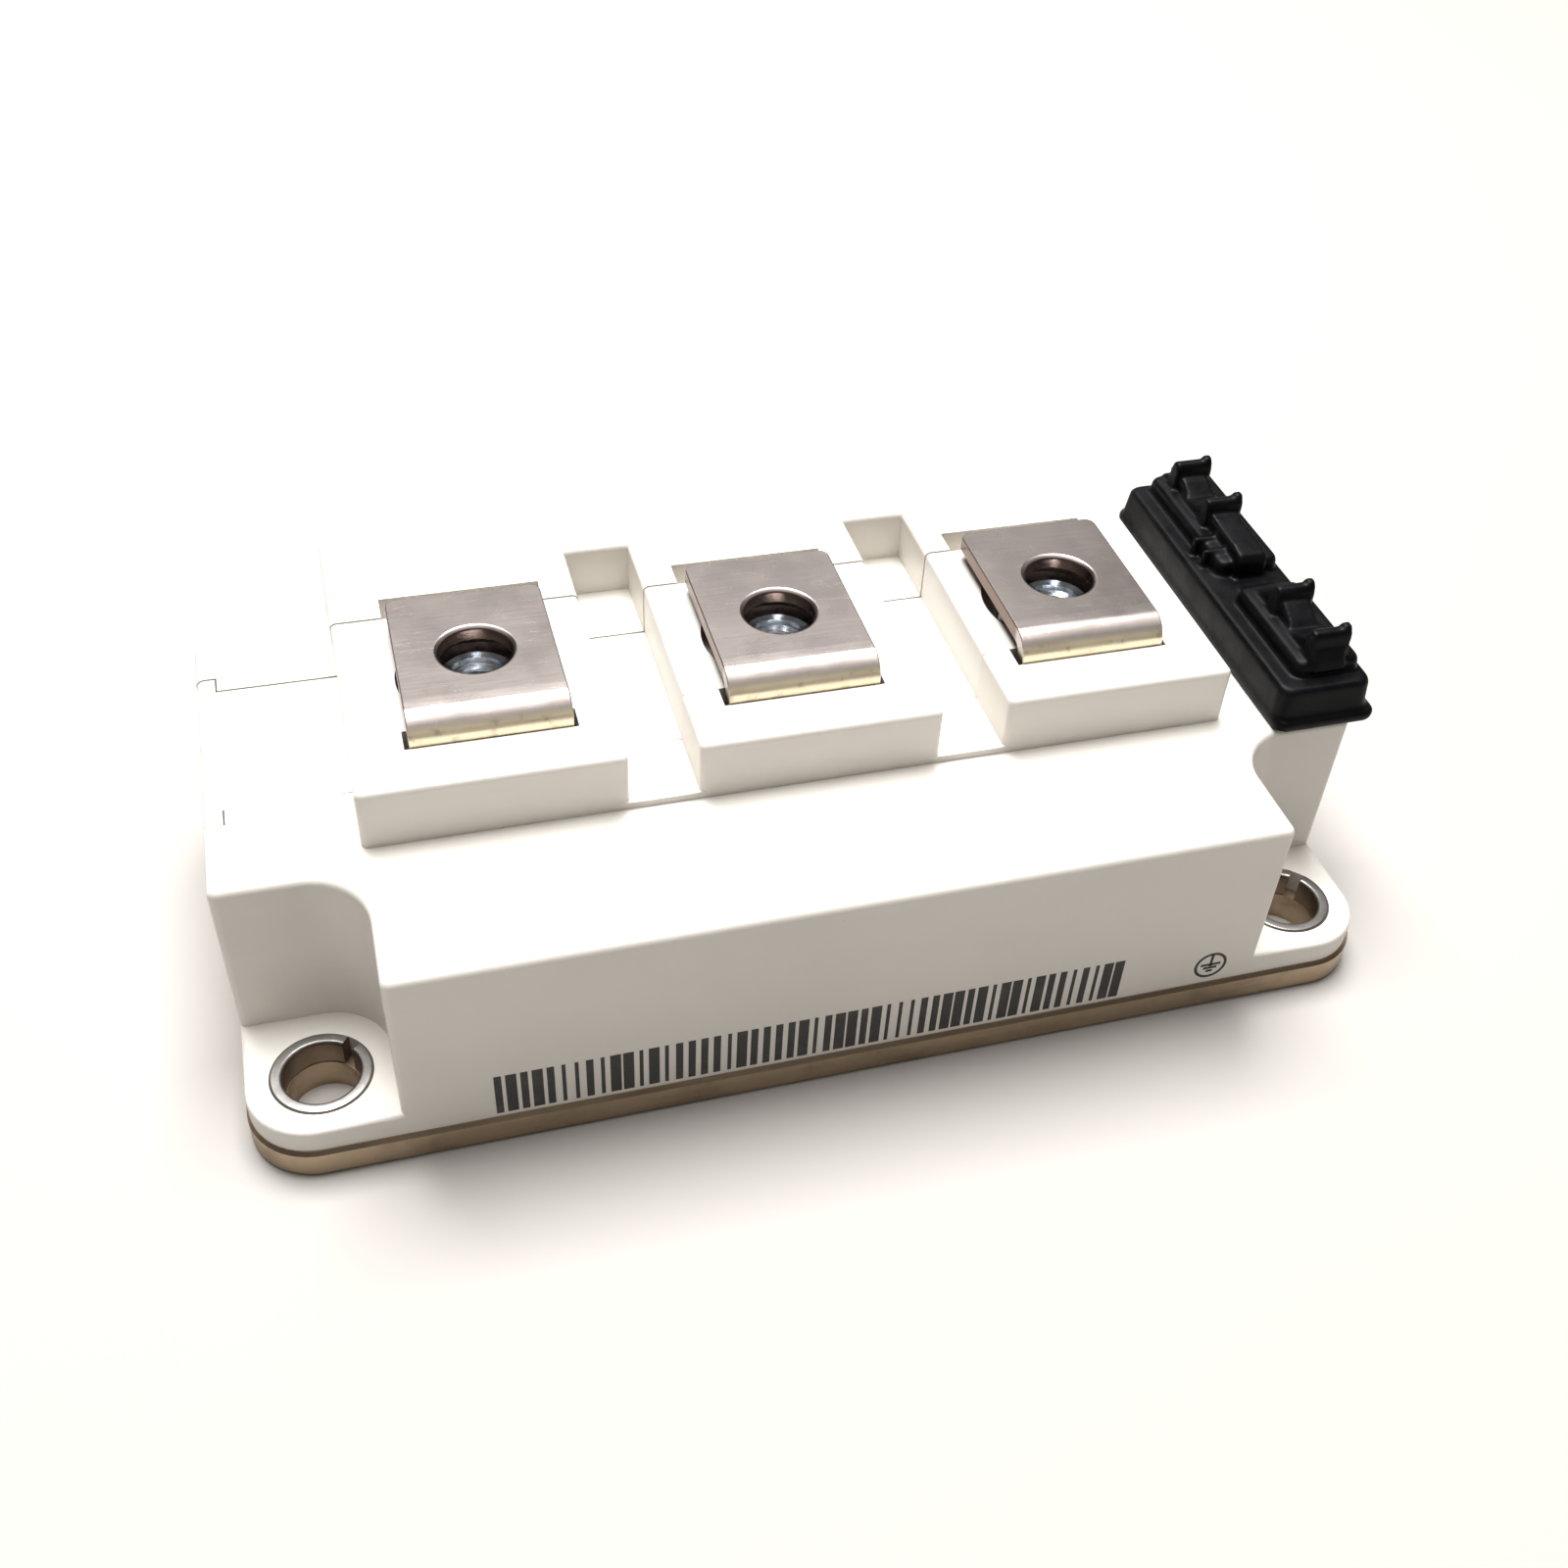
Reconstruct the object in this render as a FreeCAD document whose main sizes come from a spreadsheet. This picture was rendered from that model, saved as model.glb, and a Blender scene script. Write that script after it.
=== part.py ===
import FreeCAD, Part
import math
import os
import Sketcher
from FreeCAD import Vector

# Half-bridge power module in the 62 mm package. Lengths are in millimetres.
# The origin is the centre of the base plate's cooling face: X runs along the module,
# Y runs from the front to the back, and Z points up to the screw terminals.

# Driving sizes: alias in the sheet, value, what it measures
SIZES = (
    ("mounting_spacing_length", 93.0, "mounting holes along X"),
    ("mounting_spacing_width", 48.0, "mounting holes along Y"),
    ("mounting_hole_diameter", 6.4, "hole in the base plate"),
    ("base_margin", 6.7, "base plate past the mounting holes"),
    ("base_thickness", 3.0, "base plate"),
    ("base_corner_radius", 6.0, "base plate corners seen from above"),
    ("base_edge_break", 0.3, "bevel of the base plate's rim"),
    ("sleeve_diameter", 8.8, "outside of a mounting sleeve"),
    ("sleeve_bore", 6.6, "bore of a mounting sleeve"),
    ("sleeve_slit", 0.5, "gap of the rolled sleeve"),
    ("sleeve_gap", 0.05, "clearance around a sleeve in its ear"),
    ("sleeve_proud", 0.2, "sleeve above the ear"),
    ("sleeve_chamfer", 0.3, "upper rims of a sleeve"),
    ("housing_inset_length", 0.2, "housing inside the base plate's ends"),
    ("housing_inset_width", 0.4, "housing inside the base plate's long sides"),
    ("housing_corner_radius", 5.8, "housing ears seen from above"),
    ("ear_thickness", 2.4, "ears of the housing"),
    ("ear_rounding", 0.5, "top edge of the ears"),
    ("deck_height", 22.0, "top of the deck above the cooling face"),
    ("deck_rounding", 0.8, "top edge of the deck"),
    ("brace_depth", 1.0, "blocks and tab plinth sunk into the deck"),
    ("side_rounding", 0.8, "upright outer edges of the housing"),
    ("recess_reach_length", 6.15, "recess wall from the mounting hole along X"),
    ("recess_reach_width", 6.8, "recess wall from the mounting hole along Y"),
    ("recess_radius", 5.5, "inner corner of a recess"),
    ("raised_inset", 0.15, "terminal blocks inside the recess walls"),
    ("raised_step", 6.0, "terminal blocks above the deck"),
    ("raised_rounding", 0.6, "edges of the terminal blocks"),
    ("raised_front", 14.5, "front of the blocks before the centre line"),
    ("raised_back", 23.3, "back of the blocks behind the centre line"),
    ("valley_step", 0.7, "floor between two blocks above the deck"),
    ("valley_width", 6.3, "gap between two blocks"),
    ("valley_back", 17.0, "back wall of the gaps behind the centre line"),
    ("valley_shift", 0.7, "right gap past the middle of its two terminals"),
    ("notch_length", 4.3, "notch in the back right corner along X"),
    ("notch_width", 5.6, "notch in the back right corner along Y"),
    ("wall", 1.6, "side walls of the housing"),
    ("roof", 2.0, "deck thickness of the housing"),
    ("bead_width", 0.9, "adhesive bead under the walls"),
    ("bead_height", 0.6, "adhesive bead under the walls"),
    ("terminal_pitch", 28.0, "from one screw terminal to the next"),
    ("terminal_width", 14.2, "terminal strip along X"),
    ("terminal_thickness", 1.5, "terminal strip"),
    ("terminal_proud", 2.5, "contact face above the terminal blocks"),
    ("terminal_front", 9.4, "front of the strip before its hole"),
    ("terminal_back", 8.8, "back end of the strip behind its hole"),
    ("terminal_bend_radius", 0.8, "inside of the strip's bends"),
    ("terminal_corner_radius", 1.0, "back corners of the strip"),
    ("terminal_hole_diameter", 6.6, "screw hole of the strip"),
    ("terminal_hole_chamfer", 0.3, "rim of the screw hole"),
    ("leg_height", 9.0, "narrow part of the leg above its foot"),
    ("leg_shoulder_radius", 1.5, "corner where the leg narrows"),
    ("foot_width", 4.0, "foot of the strip along X"),
    ("foot_length", 5.0, "foot of the strip along Y"),
    ("pocket_side_gap", 0.4, "terminal pocket beside the strip"),
    ("pocket_front_gap", 0.1, "terminal pocket before the strip"),
    ("pocket_back_gap", 3.8, "terminal pocket behind the strip"),
    ("pocket_depth", 4.0, "pocket behind the nut carrier"),
    ("carrier_front", 7.0, "front of the nut carrier before the centre line"),
    ("carrier_back", 9.6, "back of the nut carrier behind the centre line"),
    ("carrier_depth", 5.0, "underside of the nut carrier below the deck"),
    ("carrier_gap", 0.1, "clearance beside the nut carrier"),
    ("head_length", 1.8, "head of the nut carrier along X"),
    ("head_overhang", 1.9, "head of the nut carrier past its sides"),
    ("trough_wall", 1.5, "channel around the nut carrier"),
    ("nut_flats", 10.0, "nut across flats"),
    ("nut_height", 5.0, "nut"),
    ("nut_bore", 5.0, "threaded bore at the thread's crest"),
    ("nut_countersink", 0.8, "countersink of the threaded bore"),
    ("nut_seat_depth", 5.4, "seat of the nut below the top of the blocks"),
    ("nut_gap", 0.1, "clearance around the nut"),
    ("nut_relief_diameter", 14.4, "round mouth over the nut"),
    ("nut_relief_depth", 2.0, "round mouth over the nut"),
    ("screw_tip_diameter", 7.0, "room for the screw under the nut"),
    ("screw_tip_depth", 3.6, "room for the screw under the nut"),
    ("tab_inset", 3.2, "signal tabs inside the housing's right end"),
    ("tab_row_centre", 1.3, "middle of the tab row behind the centre line"),
    ("tab_inner_spacing", 15.2, "between the two middle tabs"),
    ("tab_pair_spacing", 7.3, "between the tabs of a pair"),
    ("tab_width", 2.8, "signal tab along X"),
    ("tab_thickness", 0.5, "signal tab along Y"),
    ("tab_height", 7.9, "tip of a tab above the deck"),
    ("tab_foot_height", 7.0, "foot of a tab above the cooling face"),
    ("tab_foot_margin", 1.2, "foot of a tab past its lead"),
    ("tab_bend_radius", 0.4, "inside of a tab's bend"),
    ("tab_tip_chamfer", 0.7, "corners of the tab's tip"),
    ("tab_hole_diameter", 1.3, "detent hole of a tab"),
    ("tab_hole_drop", 3.0, "detent hole below the tip"),
    ("tab_gap", 0.1, "clearance around a tab"),
    ("chamber_relief", 0.3, "relief under the deck around the tabs"),
    ("plinth_margin", 1.4, "plinth around the tabs along X"),
    ("plinth_end_margin", 0.8, "plinth past the outer tabs along Y"),
    ("plinth_step", 3.0, "top of the plinth above the deck"),
    ("cap_rim_width", 10.8, "rim of the cap along X"),
    ("cap_rim_length", 39.5, "rim of the cap along Y"),
    ("cap_corner_radius", 3.0, "rim corners of the cap seen from above"),
    ("cap_ledge", 0.85, "first two steps of the cap inside the one below"),
    ("cap_last_ledge", 0.5, "last step of the cap inside the one below"),
    ("cap_rim_height", 1.3, "rim of the cap above the deck"),
    ("cap_first_height", 4.3, "first step of the cap above the deck"),
    ("cap_second_height", 5.9, "second step of the cap above the deck"),
    ("cap_last_height", 6.8, "last step of the cap above the deck"),
    ("cap_fin_height", 8.7, "fins of the cap above the deck"),
    ("cap_gusset_height", 7.5, "gussets of the cap above the deck"),
    ("cap_bevel", 0.35, "edges of the cap"),
    ("cap_wall", 0.7, "wall of the cap"),
    ("cap_fin_width", 4.1, "fin over a tab along X"),
    ("cap_fin_thickness", 1.5, "fin over a tab along Y"),
    ("cap_gusset_width", 3.0, "gusset before a fin along X"),
    ("cap_gusset_short", 3.8, "short gusset along Y"),
    ("cap_gusset_long", 8.0, "long gusset along Y"),
    ("substrate_length", 35.8, "insulating substrate along X"),
    ("substrate_width", 48.0, "insulating substrate along Y"),
    ("substrate_gap", 1.6, "between the two substrates"),
    ("solder_thickness", 0.2, "solder under a substrate"),
    ("backing_thickness", 0.3, "copper under the ceramic"),
    ("ceramic_thickness", 0.6, "ceramic plate"),
    ("track_thickness", 0.3, "copper tracks"),
    ("ceramic_margin", 1.0, "ceramic past its copper"),
    ("track_gap", 1.0, "between two tracks"),
    ("gate_track_width", 1.5, "gate track"),
    ("emitter_track_width", 7.0, "emitter track"),
    ("chip_thickness", 0.3, "chip with its solder"),
    ("transistor_size", 12.0, "side of a transistor chip"),
    ("diode_size", 7.0, "side of a diode chip"),
    ("chip_pitch", 15.5, "from one chip to the next along Y"),
    ("chip_margin", 1.5, "chips inside the collector track"),
    ("chip_gap", 1.5, "between a diode and its transistor"),
    ("wire_size", 0.4, "bond wire"),
    ("wire_foot", 0.9, "flat end of a bond wire"),
    ("wire_margin", 0.6, "flat end of a bond wire inside the edge of its pad"),
    ("wire_rise", 2.0, "loop of a bond wire above the chips"),
    ("wire_pitch", 2.6, "between bond wires side by side"),
    ("gate_wire_place", 4.4, "gate wire behind the middle of its chip"),
    ("link_width", 3.0, "phase link along Y"),
    ("link_thickness", 0.8, "phase link"),
    ("link_height", 8.0, "top of the phase link above the cooling face"),
    ("link_foot", 3.0, "feet of the phase link along X"),
    ("link_bend_radius", 0.4, "inside of the link's and the leads' bends"),
    ("lead_width", 1.2, "inner signal lead along Y"),
    ("lead_thickness", 0.5, "inner signal lead"),
    ("lead_height", 10.5, "inner signal lead above the cooling face"),
    ("lead_1_row", 11.3, "first lead behind the centre line"),
    ("lead_2_row", 4.9, "second lead behind the centre line"),
    ("lead_3_row", 2.9, "third lead before the centre line"),
    ("lead_4_row", 10.9, "fourth lead before the centre line"),
    ("gel_height", 11.8, "surface of the silicone gel above the cooling face"),
)

# Places worked out from the driving sizes, as expressions on the sheet
MOUNTING_X = "(sizes.mounting_spacing_length / 2)"
MOUNTING_Y = "(sizes.mounting_spacing_width / 2)"
BASE_X = f"({MOUNTING_X} + sizes.base_margin)"
BASE_Y = f"({MOUNTING_Y} + sizes.base_margin)"
HOUSING_X = f"({BASE_X} - sizes.housing_inset_length)"
HOUSING_Y = f"({BASE_Y} - sizes.housing_inset_width)"
PAST_X = f"(2 * {HOUSING_X})"
PAST_Y = f"(2 * {HOUSING_Y})"
SHOULDER_X = f"({MOUNTING_X} - sizes.recess_reach_length)"
SHOULDER_Y = f"({MOUNTING_Y} - sizes.recess_reach_width)"
EAR_TOP = "(sizes.base_thickness + sizes.ear_thickness)"
RAISED_X = f"({SHOULDER_X} - sizes.raised_inset)"
RAISED_TOP = "(sizes.deck_height + sizes.raised_step)"
VALLEY_TOP = "(sizes.deck_height + sizes.valley_step)"
VALLEY_LEFT = "(-sizes.terminal_pitch / 2)"
VALLEY_RIGHT = "(sizes.terminal_pitch / 2 + sizes.valley_shift)"
CAVITY_LONG_X = f"({HOUSING_X} - sizes.wall)"
CAVITY_LONG_Y = f"({SHOULDER_Y} - sizes.wall)"
CAVITY_WIDE_X = f"({SHOULDER_X} - sizes.wall)"
CAVITY_WIDE_Y = f"({HOUSING_Y} - sizes.wall)"
CAVITY_TOP = "(sizes.deck_height - sizes.roof)"
CONTACT_TOP = f"({RAISED_TOP} + sizes.terminal_proud)"
STRIP_BACK = "(sizes.terminal_thickness - sizes.terminal_front)"
POCKET_HALF = "(sizes.terminal_width / 2 + sizes.pocket_side_gap)"
POCKET_FRONT = "(-sizes.terminal_front - sizes.pocket_front_gap)"
POCKET_BACK = "(sizes.terminal_back + sizes.pocket_back_gap)"
CARRIER_FLOOR = "(sizes.deck_height - sizes.carrier_depth)"
CARRIER_RIGHT = f"(sizes.terminal_pitch + {POCKET_HALF})"
HEAD_RIGHT = f"(sizes.head_length - {HOUSING_X})"
SLOT_FRONT = "(-sizes.carrier_front - sizes.carrier_gap)"
SLOT_BACK = "(sizes.carrier_back + sizes.carrier_gap)"
NUT_SEAT = f"({RAISED_TOP} - sizes.nut_seat_depth)"
TAB_X = f"({HOUSING_X} - sizes.tab_inset)"
TAB_TOP = "(sizes.deck_height + sizes.tab_height)"
TAB_ROOM = "(sizes.tab_width / 2 + sizes.tab_gap)"
TAB_SLACK = "(sizes.tab_thickness / 2 + sizes.tab_gap)"
TAB_LEFT = f"({TAB_X} - {TAB_ROOM})"
TAB_RIGHT = f"({TAB_X} + {TAB_ROOM})"
PLINTH_TOP = "(sizes.deck_height + sizes.plinth_step)"
CAP_HOLLOW_TOP = "(sizes.deck_height + sizes.cap_first_height - sizes.cap_wall)"
SOLDER_TOP = "(sizes.base_thickness + sizes.solder_thickness)"
BACKING_TOP = f"({SOLDER_TOP} + sizes.backing_thickness)"
CERAMIC_TOP = f"({BACKING_TOP} + sizes.ceramic_thickness)"
TRACK_TOP = f"({CERAMIC_TOP} + sizes.track_thickness)"
CHIP_TOP = f"({TRACK_TOP} + sizes.chip_thickness)"
CERAMIC_INNER = "(sizes.substrate_gap / 2)"
CERAMIC_OUTER = f"({CERAMIC_INNER} + sizes.substrate_length)"
COPPER_INNER = f"({CERAMIC_INNER} + sizes.ceramic_margin)"
COPPER_OUTER = f"({CERAMIC_OUTER} - sizes.ceramic_margin)"
COPPER_Y = "(sizes.substrate_width / 2 - sizes.ceramic_margin)"
EMITTER_OUTER = f"({COPPER_INNER} + sizes.emitter_track_width)"
EMITTER_MIDDLE = f"({COPPER_INNER} + sizes.emitter_track_width / 2)"
GATE_INNER = f"({EMITTER_OUTER} + sizes.track_gap)"
GATE_MIDDLE = f"({GATE_INNER} + sizes.gate_track_width / 2)"
GATE_OUTER = f"({GATE_INNER} + sizes.gate_track_width)"
COLLECTOR_INNER = f"({GATE_OUTER} + sizes.track_gap)"
TRANSISTOR_INNER = f"({COLLECTOR_INNER} + sizes.chip_margin)"
TRANSISTOR_OUTER = f"({TRANSISTOR_INNER} + sizes.transistor_size)"
DIODE_INNER = f"({TRANSISTOR_OUTER} + sizes.chip_gap)"
LEAD_START = "(sizes.tab_foot_height + sizes.tab_thickness)"

# What repeats: names and the signs or steps that place them
SIDES = (("left", -1), ("right", 1))
ENDS = (("front", -1), ("back", 1))
BLOCKS = (("left", -1), ("middle", 0), ("right", 1))
VALLEYS = (("left", VALLEY_LEFT), ("right", VALLEY_RIGHT))
CAVITY_PLANS = (("long", CAVITY_LONG_X, CAVITY_LONG_Y), ("wide", CAVITY_WIDE_X, CAVITY_WIDE_Y))
FOOT_SIDES = {"left": -1, "middle": -1, "right": 1}
CHIP_ROWS = (-1, 0, 1)
# Each tab: its pair's side of the row and its own side of the pair
TAB_SIGNS = ((1, 1), (1, -1), (-1, 1), (-1, -1))
# The length of the gusset in front of each fin, where it has one
CAP_GUSSETS = ("sizes.cap_gusset_short", "sizes.cap_gusset_long", "sizes.cap_gusset_short")
# Each lead: its row, and the side and place along X of the track that it lands on
LEADS = (("sizes.lead_1_row", GATE_MIDDLE), ("sizes.lead_2_row", EMITTER_MIDDLE),
         ("-sizes.lead_3_row", f"-{GATE_MIDDLE}"), ("-sizes.lead_4_row", f"-{EMITTER_MIDDLE}"))
PRECISION = 1e-4

doc = FreeCAD.newDocument("igbt_module")
sheet = doc.addObject("Spreadsheet::Sheet", "sizes")
pieces = []


def fill_sheet():
    """Writes the driving sizes and gives each cell its alias."""
    for row, (alias, value, meaning) in enumerate(SIZES, start=1):
        sheet.set(f"A{row}", meaning)
        sheet.set(f"B{row}", str(value))
        sheet.setAlias(f"B{row}", alias)
    doc.recompute()


def number(expression):
    """The present value of an expression on the sheet."""
    return float(sheet.evalExpression(expression.replace("sizes.", "")))


def make_body(name):
    body = doc.addObject("PartDesign::Body", name)
    body.Label = name
    pieces.append(body)
    return body


def make_sketch(body, name, plane="XY_Plane", offset="0"):
    """An empty sketch on one of the body's own origin planes, moved along its normal."""
    sketch = body.newObject("Sketcher::SketchObject", name)
    support = next(feature for feature in body.Origin.OriginFeatures if feature.Role == plane)
    sketch.AttachmentSupport = [(support, "")]
    sketch.MapMode = "FlatFace"
    sketch.setExpression("AttachmentOffset.Base.z", offset)
    return sketch


def measure(sketch, kind, geometry, point, name, expression):
    """Binds a point's distance from the sketch's origin to an expression."""
    constraint = Sketcher.Constraint(kind, -1, 1, geometry, point, number(expression))
    sketch.renameConstraint(sketch.addConstraint(constraint), name)
    sketch.setExpression(f"Constraints.{name}", expression)


def add_outline(sketch, points, name="corner"):
    """A closed outline of straight lines whose corners are pairs of expressions."""
    places = [Vector(number(across), number(along), 0) for across, along in points]
    count = len(points)
    lines = [sketch.addGeometry(Part.LineSegment(places[k], places[(k + 1) % count]), False)
             for k in range(count)]
    for k, line in enumerate(lines):
        sketch.addConstraint(Sketcher.Constraint("Coincident", line, 2, lines[(k + 1) % count], 1))
    for k, (across, along) in enumerate(points):
        measure(sketch, "DistanceX", lines[k], 1, f"{name}_{k}_across", across)
        measure(sketch, "DistanceY", lines[k], 1, f"{name}_{k}_along", along)


def add_rectangle(sketch, left, right, front, back, name="side"):
    """A rectangle between four coordinates, each one an expression."""
    across = [number(left), number(right)]
    along = [number(front), number(back)]
    places = [Vector(across[0], along[0], 0), Vector(across[1], along[0], 0),
              Vector(across[1], along[1], 0), Vector(across[0], along[1], 0)]
    lines = [sketch.addGeometry(Part.LineSegment(places[k], places[(k + 1) % 4]), False)
             for k in range(4)]
    for k, line in enumerate(lines):
        sketch.addConstraint(Sketcher.Constraint("Coincident", line, 2, lines[(k + 1) % 4], 1))
        sketch.addConstraint(Sketcher.Constraint("Vertical" if k % 2 else "Horizontal", line))
    measure(sketch, "DistanceX", lines[0], 1, f"{name}_left", left)
    measure(sketch, "DistanceY", lines[0], 1, f"{name}_front", front)
    measure(sketch, "DistanceX", lines[2], 1, f"{name}_right", right)
    measure(sketch, "DistanceY", lines[2], 1, f"{name}_back", back)


def add_rounded_rectangle(sketch, left, right, front, back, radius, name="side"):
    """A rectangle between four coordinates with arcs of one radius at its corners."""
    across = [number(left), number(right)]
    along = [number(front), number(back)]
    bend = number(radius)
    centres = [(across[1] - bend, along[0] + bend), (across[1] - bend, along[1] - bend),
               (across[0] + bend, along[1] - bend), (across[0] + bend, along[0] + bend)]
    arcs = []
    for k, centre in enumerate(centres):
        circle = Part.Circle(Vector(*centre, 0), Vector(0, 0, 1), bend)
        arc = Part.ArcOfCircle(circle, math.radians(90 * k - 90), math.radians(90 * k))
        arcs.append(sketch.addGeometry(arc, False))
    lines = []
    for k in range(4):
        begin, end = sketch.getPoint(arcs[k - 1], 2), sketch.getPoint(arcs[k], 1)
        lines.append(sketch.addGeometry(Part.LineSegment(begin, end), False))
    for k, line in enumerate(lines):
        sketch.addConstraint(Sketcher.Constraint("Tangent", arcs[k - 1], 2, line, 1))
        sketch.addConstraint(Sketcher.Constraint("Tangent", line, 2, arcs[k], 1))
        sketch.addConstraint(Sketcher.Constraint("Vertical" if k % 2 else "Horizontal", line))
        if k:
            sketch.addConstraint(Sketcher.Constraint("Equal", arcs[0], arcs[k]))
    index = sketch.addConstraint(Sketcher.Constraint("Radius", arcs[0], bend))
    sketch.renameConstraint(index, f"{name}_radius")
    sketch.setExpression(f"Constraints.{name}_radius", radius)
    measure(sketch, "DistanceY", lines[0], 1, f"{name}_front", front)
    measure(sketch, "DistanceX", lines[1], 1, f"{name}_right", right)
    measure(sketch, "DistanceY", lines[2], 1, f"{name}_back", back)
    measure(sketch, "DistanceX", lines[3], 1, f"{name}_left", left)


def add_circle(sketch, diameter, across=None, along=None, name="round"):
    """A circle at the sketch's origin, on its X axis or at a place, as far as places are given."""
    centre = Vector(number(across or "0"), number(along or "0"), 0)
    circle = sketch.addGeometry(Part.Circle(centre, Vector(0, 0, 1), number(diameter) / 2), False)
    measure(sketch, "DistanceX", circle, 3, f"{name}_across", across or "0")
    measure(sketch, "DistanceY", circle, 3, f"{name}_along", along or "0")
    index = sketch.addConstraint(Sketcher.Constraint("Diameter", circle, number(diameter)))
    sketch.renameConstraint(index, f"{name}_diameter")
    sketch.setExpression(f"Constraints.{name}_diameter", diameter)


def add_hexagon(sketch, flats, across="0", name="hexagon"):
    """A hexagon on the sketch's X axis, with a corner to each side along it."""
    middle = number(across)
    reach = number(flats) / math.sqrt(3)
    turns = [math.radians(60 * k) for k in range(6)]
    corners = [Vector(middle + reach * math.cos(turn), reach * math.sin(turn), 0) for turn in turns]
    lines = [sketch.addGeometry(Part.LineSegment(corners[k], corners[(k + 1) % 6]), False)
             for k in range(6)]
    guide = sketch.addGeometry(Part.Circle(Vector(middle, 0, 0), Vector(0, 0, 1), reach), True)
    for k, line in enumerate(lines):
        sketch.addConstraint(Sketcher.Constraint("Coincident", line, 2, lines[(k + 1) % 6], 1))
        sketch.addConstraint(Sketcher.Constraint("PointOnObject", line, 1, guide))
        if k:
            sketch.addConstraint(Sketcher.Constraint("Equal", lines[0], line))
    sketch.addConstraint(Sketcher.Constraint("Horizontal", lines[1]))
    sketch.addConstraint(Sketcher.Constraint("PointOnObject", guide, 3, -1))
    measure(sketch, "DistanceX", guide, 3, f"{name}_across", across)
    index = sketch.addConstraint(Sketcher.Constraint("Radius", guide, reach))
    sketch.renameConstraint(index, f"{name}_reach")
    sketch.setExpression(f"Constraints.{name}_reach", f"({flats}) / sqrt(3)")


def settle(feature):
    """Recomputes, and stops where the new feature has failed."""
    doc.recompute()
    if feature.Shape.isNull() or {"Invalid", "Error"} & set(feature.State):
        raise RuntimeError(f"{feature.Name} fails: {feature.State}")
    return feature


def pad(body, name, sketch, length, backwards=False):
    feature = body.newObject("PartDesign::Pad", name)
    feature.Profile = sketch
    feature.setExpression("Length", length)
    feature.Reversed = backwards
    return settle(feature)


def pocket(body, name, sketch, depth, backwards=False):
    """Cuts against the sketch's normal, or along it when backwards, and tests that it cut."""
    before = body.Tip.Shape.Volume
    feature = body.newObject("PartDesign::Pocket", name)
    feature.Profile = sketch
    feature.setExpression("Length", depth)
    feature.Reversed = backwards
    if not settle(feature).Shape.Volume < before - PRECISION:
        raise RuntimeError(f"{body.Name}: {name} cuts nothing")
    return feature


def dress(body, kind, name, size, chosen):
    """A fillet or chamfer on the edges of the body's tip that the test chooses."""
    base = body.Tip
    names = [f"Edge{k}" for k, edge in enumerate(base.Shape.Edges, start=1) if chosen(edge)]
    if not names:
        raise RuntimeError(f"{body.Name}: {name} finds no edge")
    feature = body.newObject(kind, name)
    feature.Base = (base, names)
    feature.setExpression("Radius" if kind.endswith("Fillet") else "Size", size)
    return settle(feature)


def fillet(body, name, radius, chosen):
    return dress(body, "PartDesign::Fillet", name, radius, chosen)


def chamfer(body, name, size, chosen):
    return dress(body, "PartDesign::Chamfer", name, size, chosen)


def level(height):
    """Chooses edges that lie flat at a height given by an expression."""
    place = number(height)

    def test(edge):
        box = edge.BoundBox
        return max(abs(box.ZMin - place), abs(box.ZMax - place)) < PRECISION
    return test


def upright(edge):
    """Chooses straight edges that stand along Z."""
    box = edge.BoundBox
    return max(box.XLength, box.YLength) < PRECISION < box.ZLength


def crosswise(along, height):
    """Chooses edges that run along X at a place along Y and a height."""
    place, top = number(along), number(height)

    def test(edge):
        box = edge.BoundBox
        off = max(box.YLength, box.ZLength, abs(box.YMin - place), abs(box.ZMin - top))
        return off < PRECISION < box.XLength
    return test


def lengthwise(across, height):
    """Chooses edges that run along Y at a place along X and a height."""
    place, top = number(across), number(height)

    def test(edge):
        box = edge.BoundBox
        off = max(box.XLength, box.ZLength, abs(box.XMin - place), abs(box.ZMin - top))
        return off < PRECISION < box.YLength
    return test


def any_of(*tests):
    """Chooses edges that at least one test chooses."""
    return lambda edge: any(test(edge) for test in tests)


def between(side, inner, outer):
    """The left and right ends of a stretch that lies on one side of the middle."""
    return (inner, outer) if side > 0 else (f"-{outer}", f"-{inner}")


def place_body(body, across=None, along=None):
    """Binds a body's place to expressions."""
    if across:
        body.setExpression("Placement.Base.x", across)
    if along:
        body.setExpression("Placement.Base.y", along)


def ear_places():
    """The name and place of each mounting hole."""
    return [(f"{end}_{side}", f"{across} * {MOUNTING_X}", f"{along} * {MOUNTING_Y}")
            for side, across in SIDES for end, along in ENDS]


def tab_row(number_of_tab):
    """Where a signal tab stands along Y."""
    pair, place = TAB_SIGNS[number_of_tab - 1]
    return (f"(sizes.tab_row_centre + {pair} * (sizes.tab_inner_spacing + sizes.tab_pair_spacing) / 2"
            f" + {place} * sizes.tab_pair_spacing / 2)")


def build_base_plate():
    """The nickel-plated copper plate that the module is cooled and screwed down through."""
    body = make_body("base_plate")
    outline = make_sketch(body, "plate_outline")
    add_rectangle(outline, f"-{BASE_X}", BASE_X, f"-{BASE_Y}", BASE_Y)
    pad(body, "plate", outline, "sizes.base_thickness")
    fillet(body, "plate_corners", "sizes.base_corner_radius", upright)
    chamfer(body, "plate_rim", "sizes.base_edge_break", any_of(level("0"), level("sizes.base_thickness")))
    holes = make_sketch(body, "hole_centres", offset="sizes.base_thickness")
    for name, across, along in ear_places():
        add_circle(holes, "sizes.mounting_hole_diameter", across, along, name)
    pocket(body, "mounting_holes", holes, "sizes.base_thickness")


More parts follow.
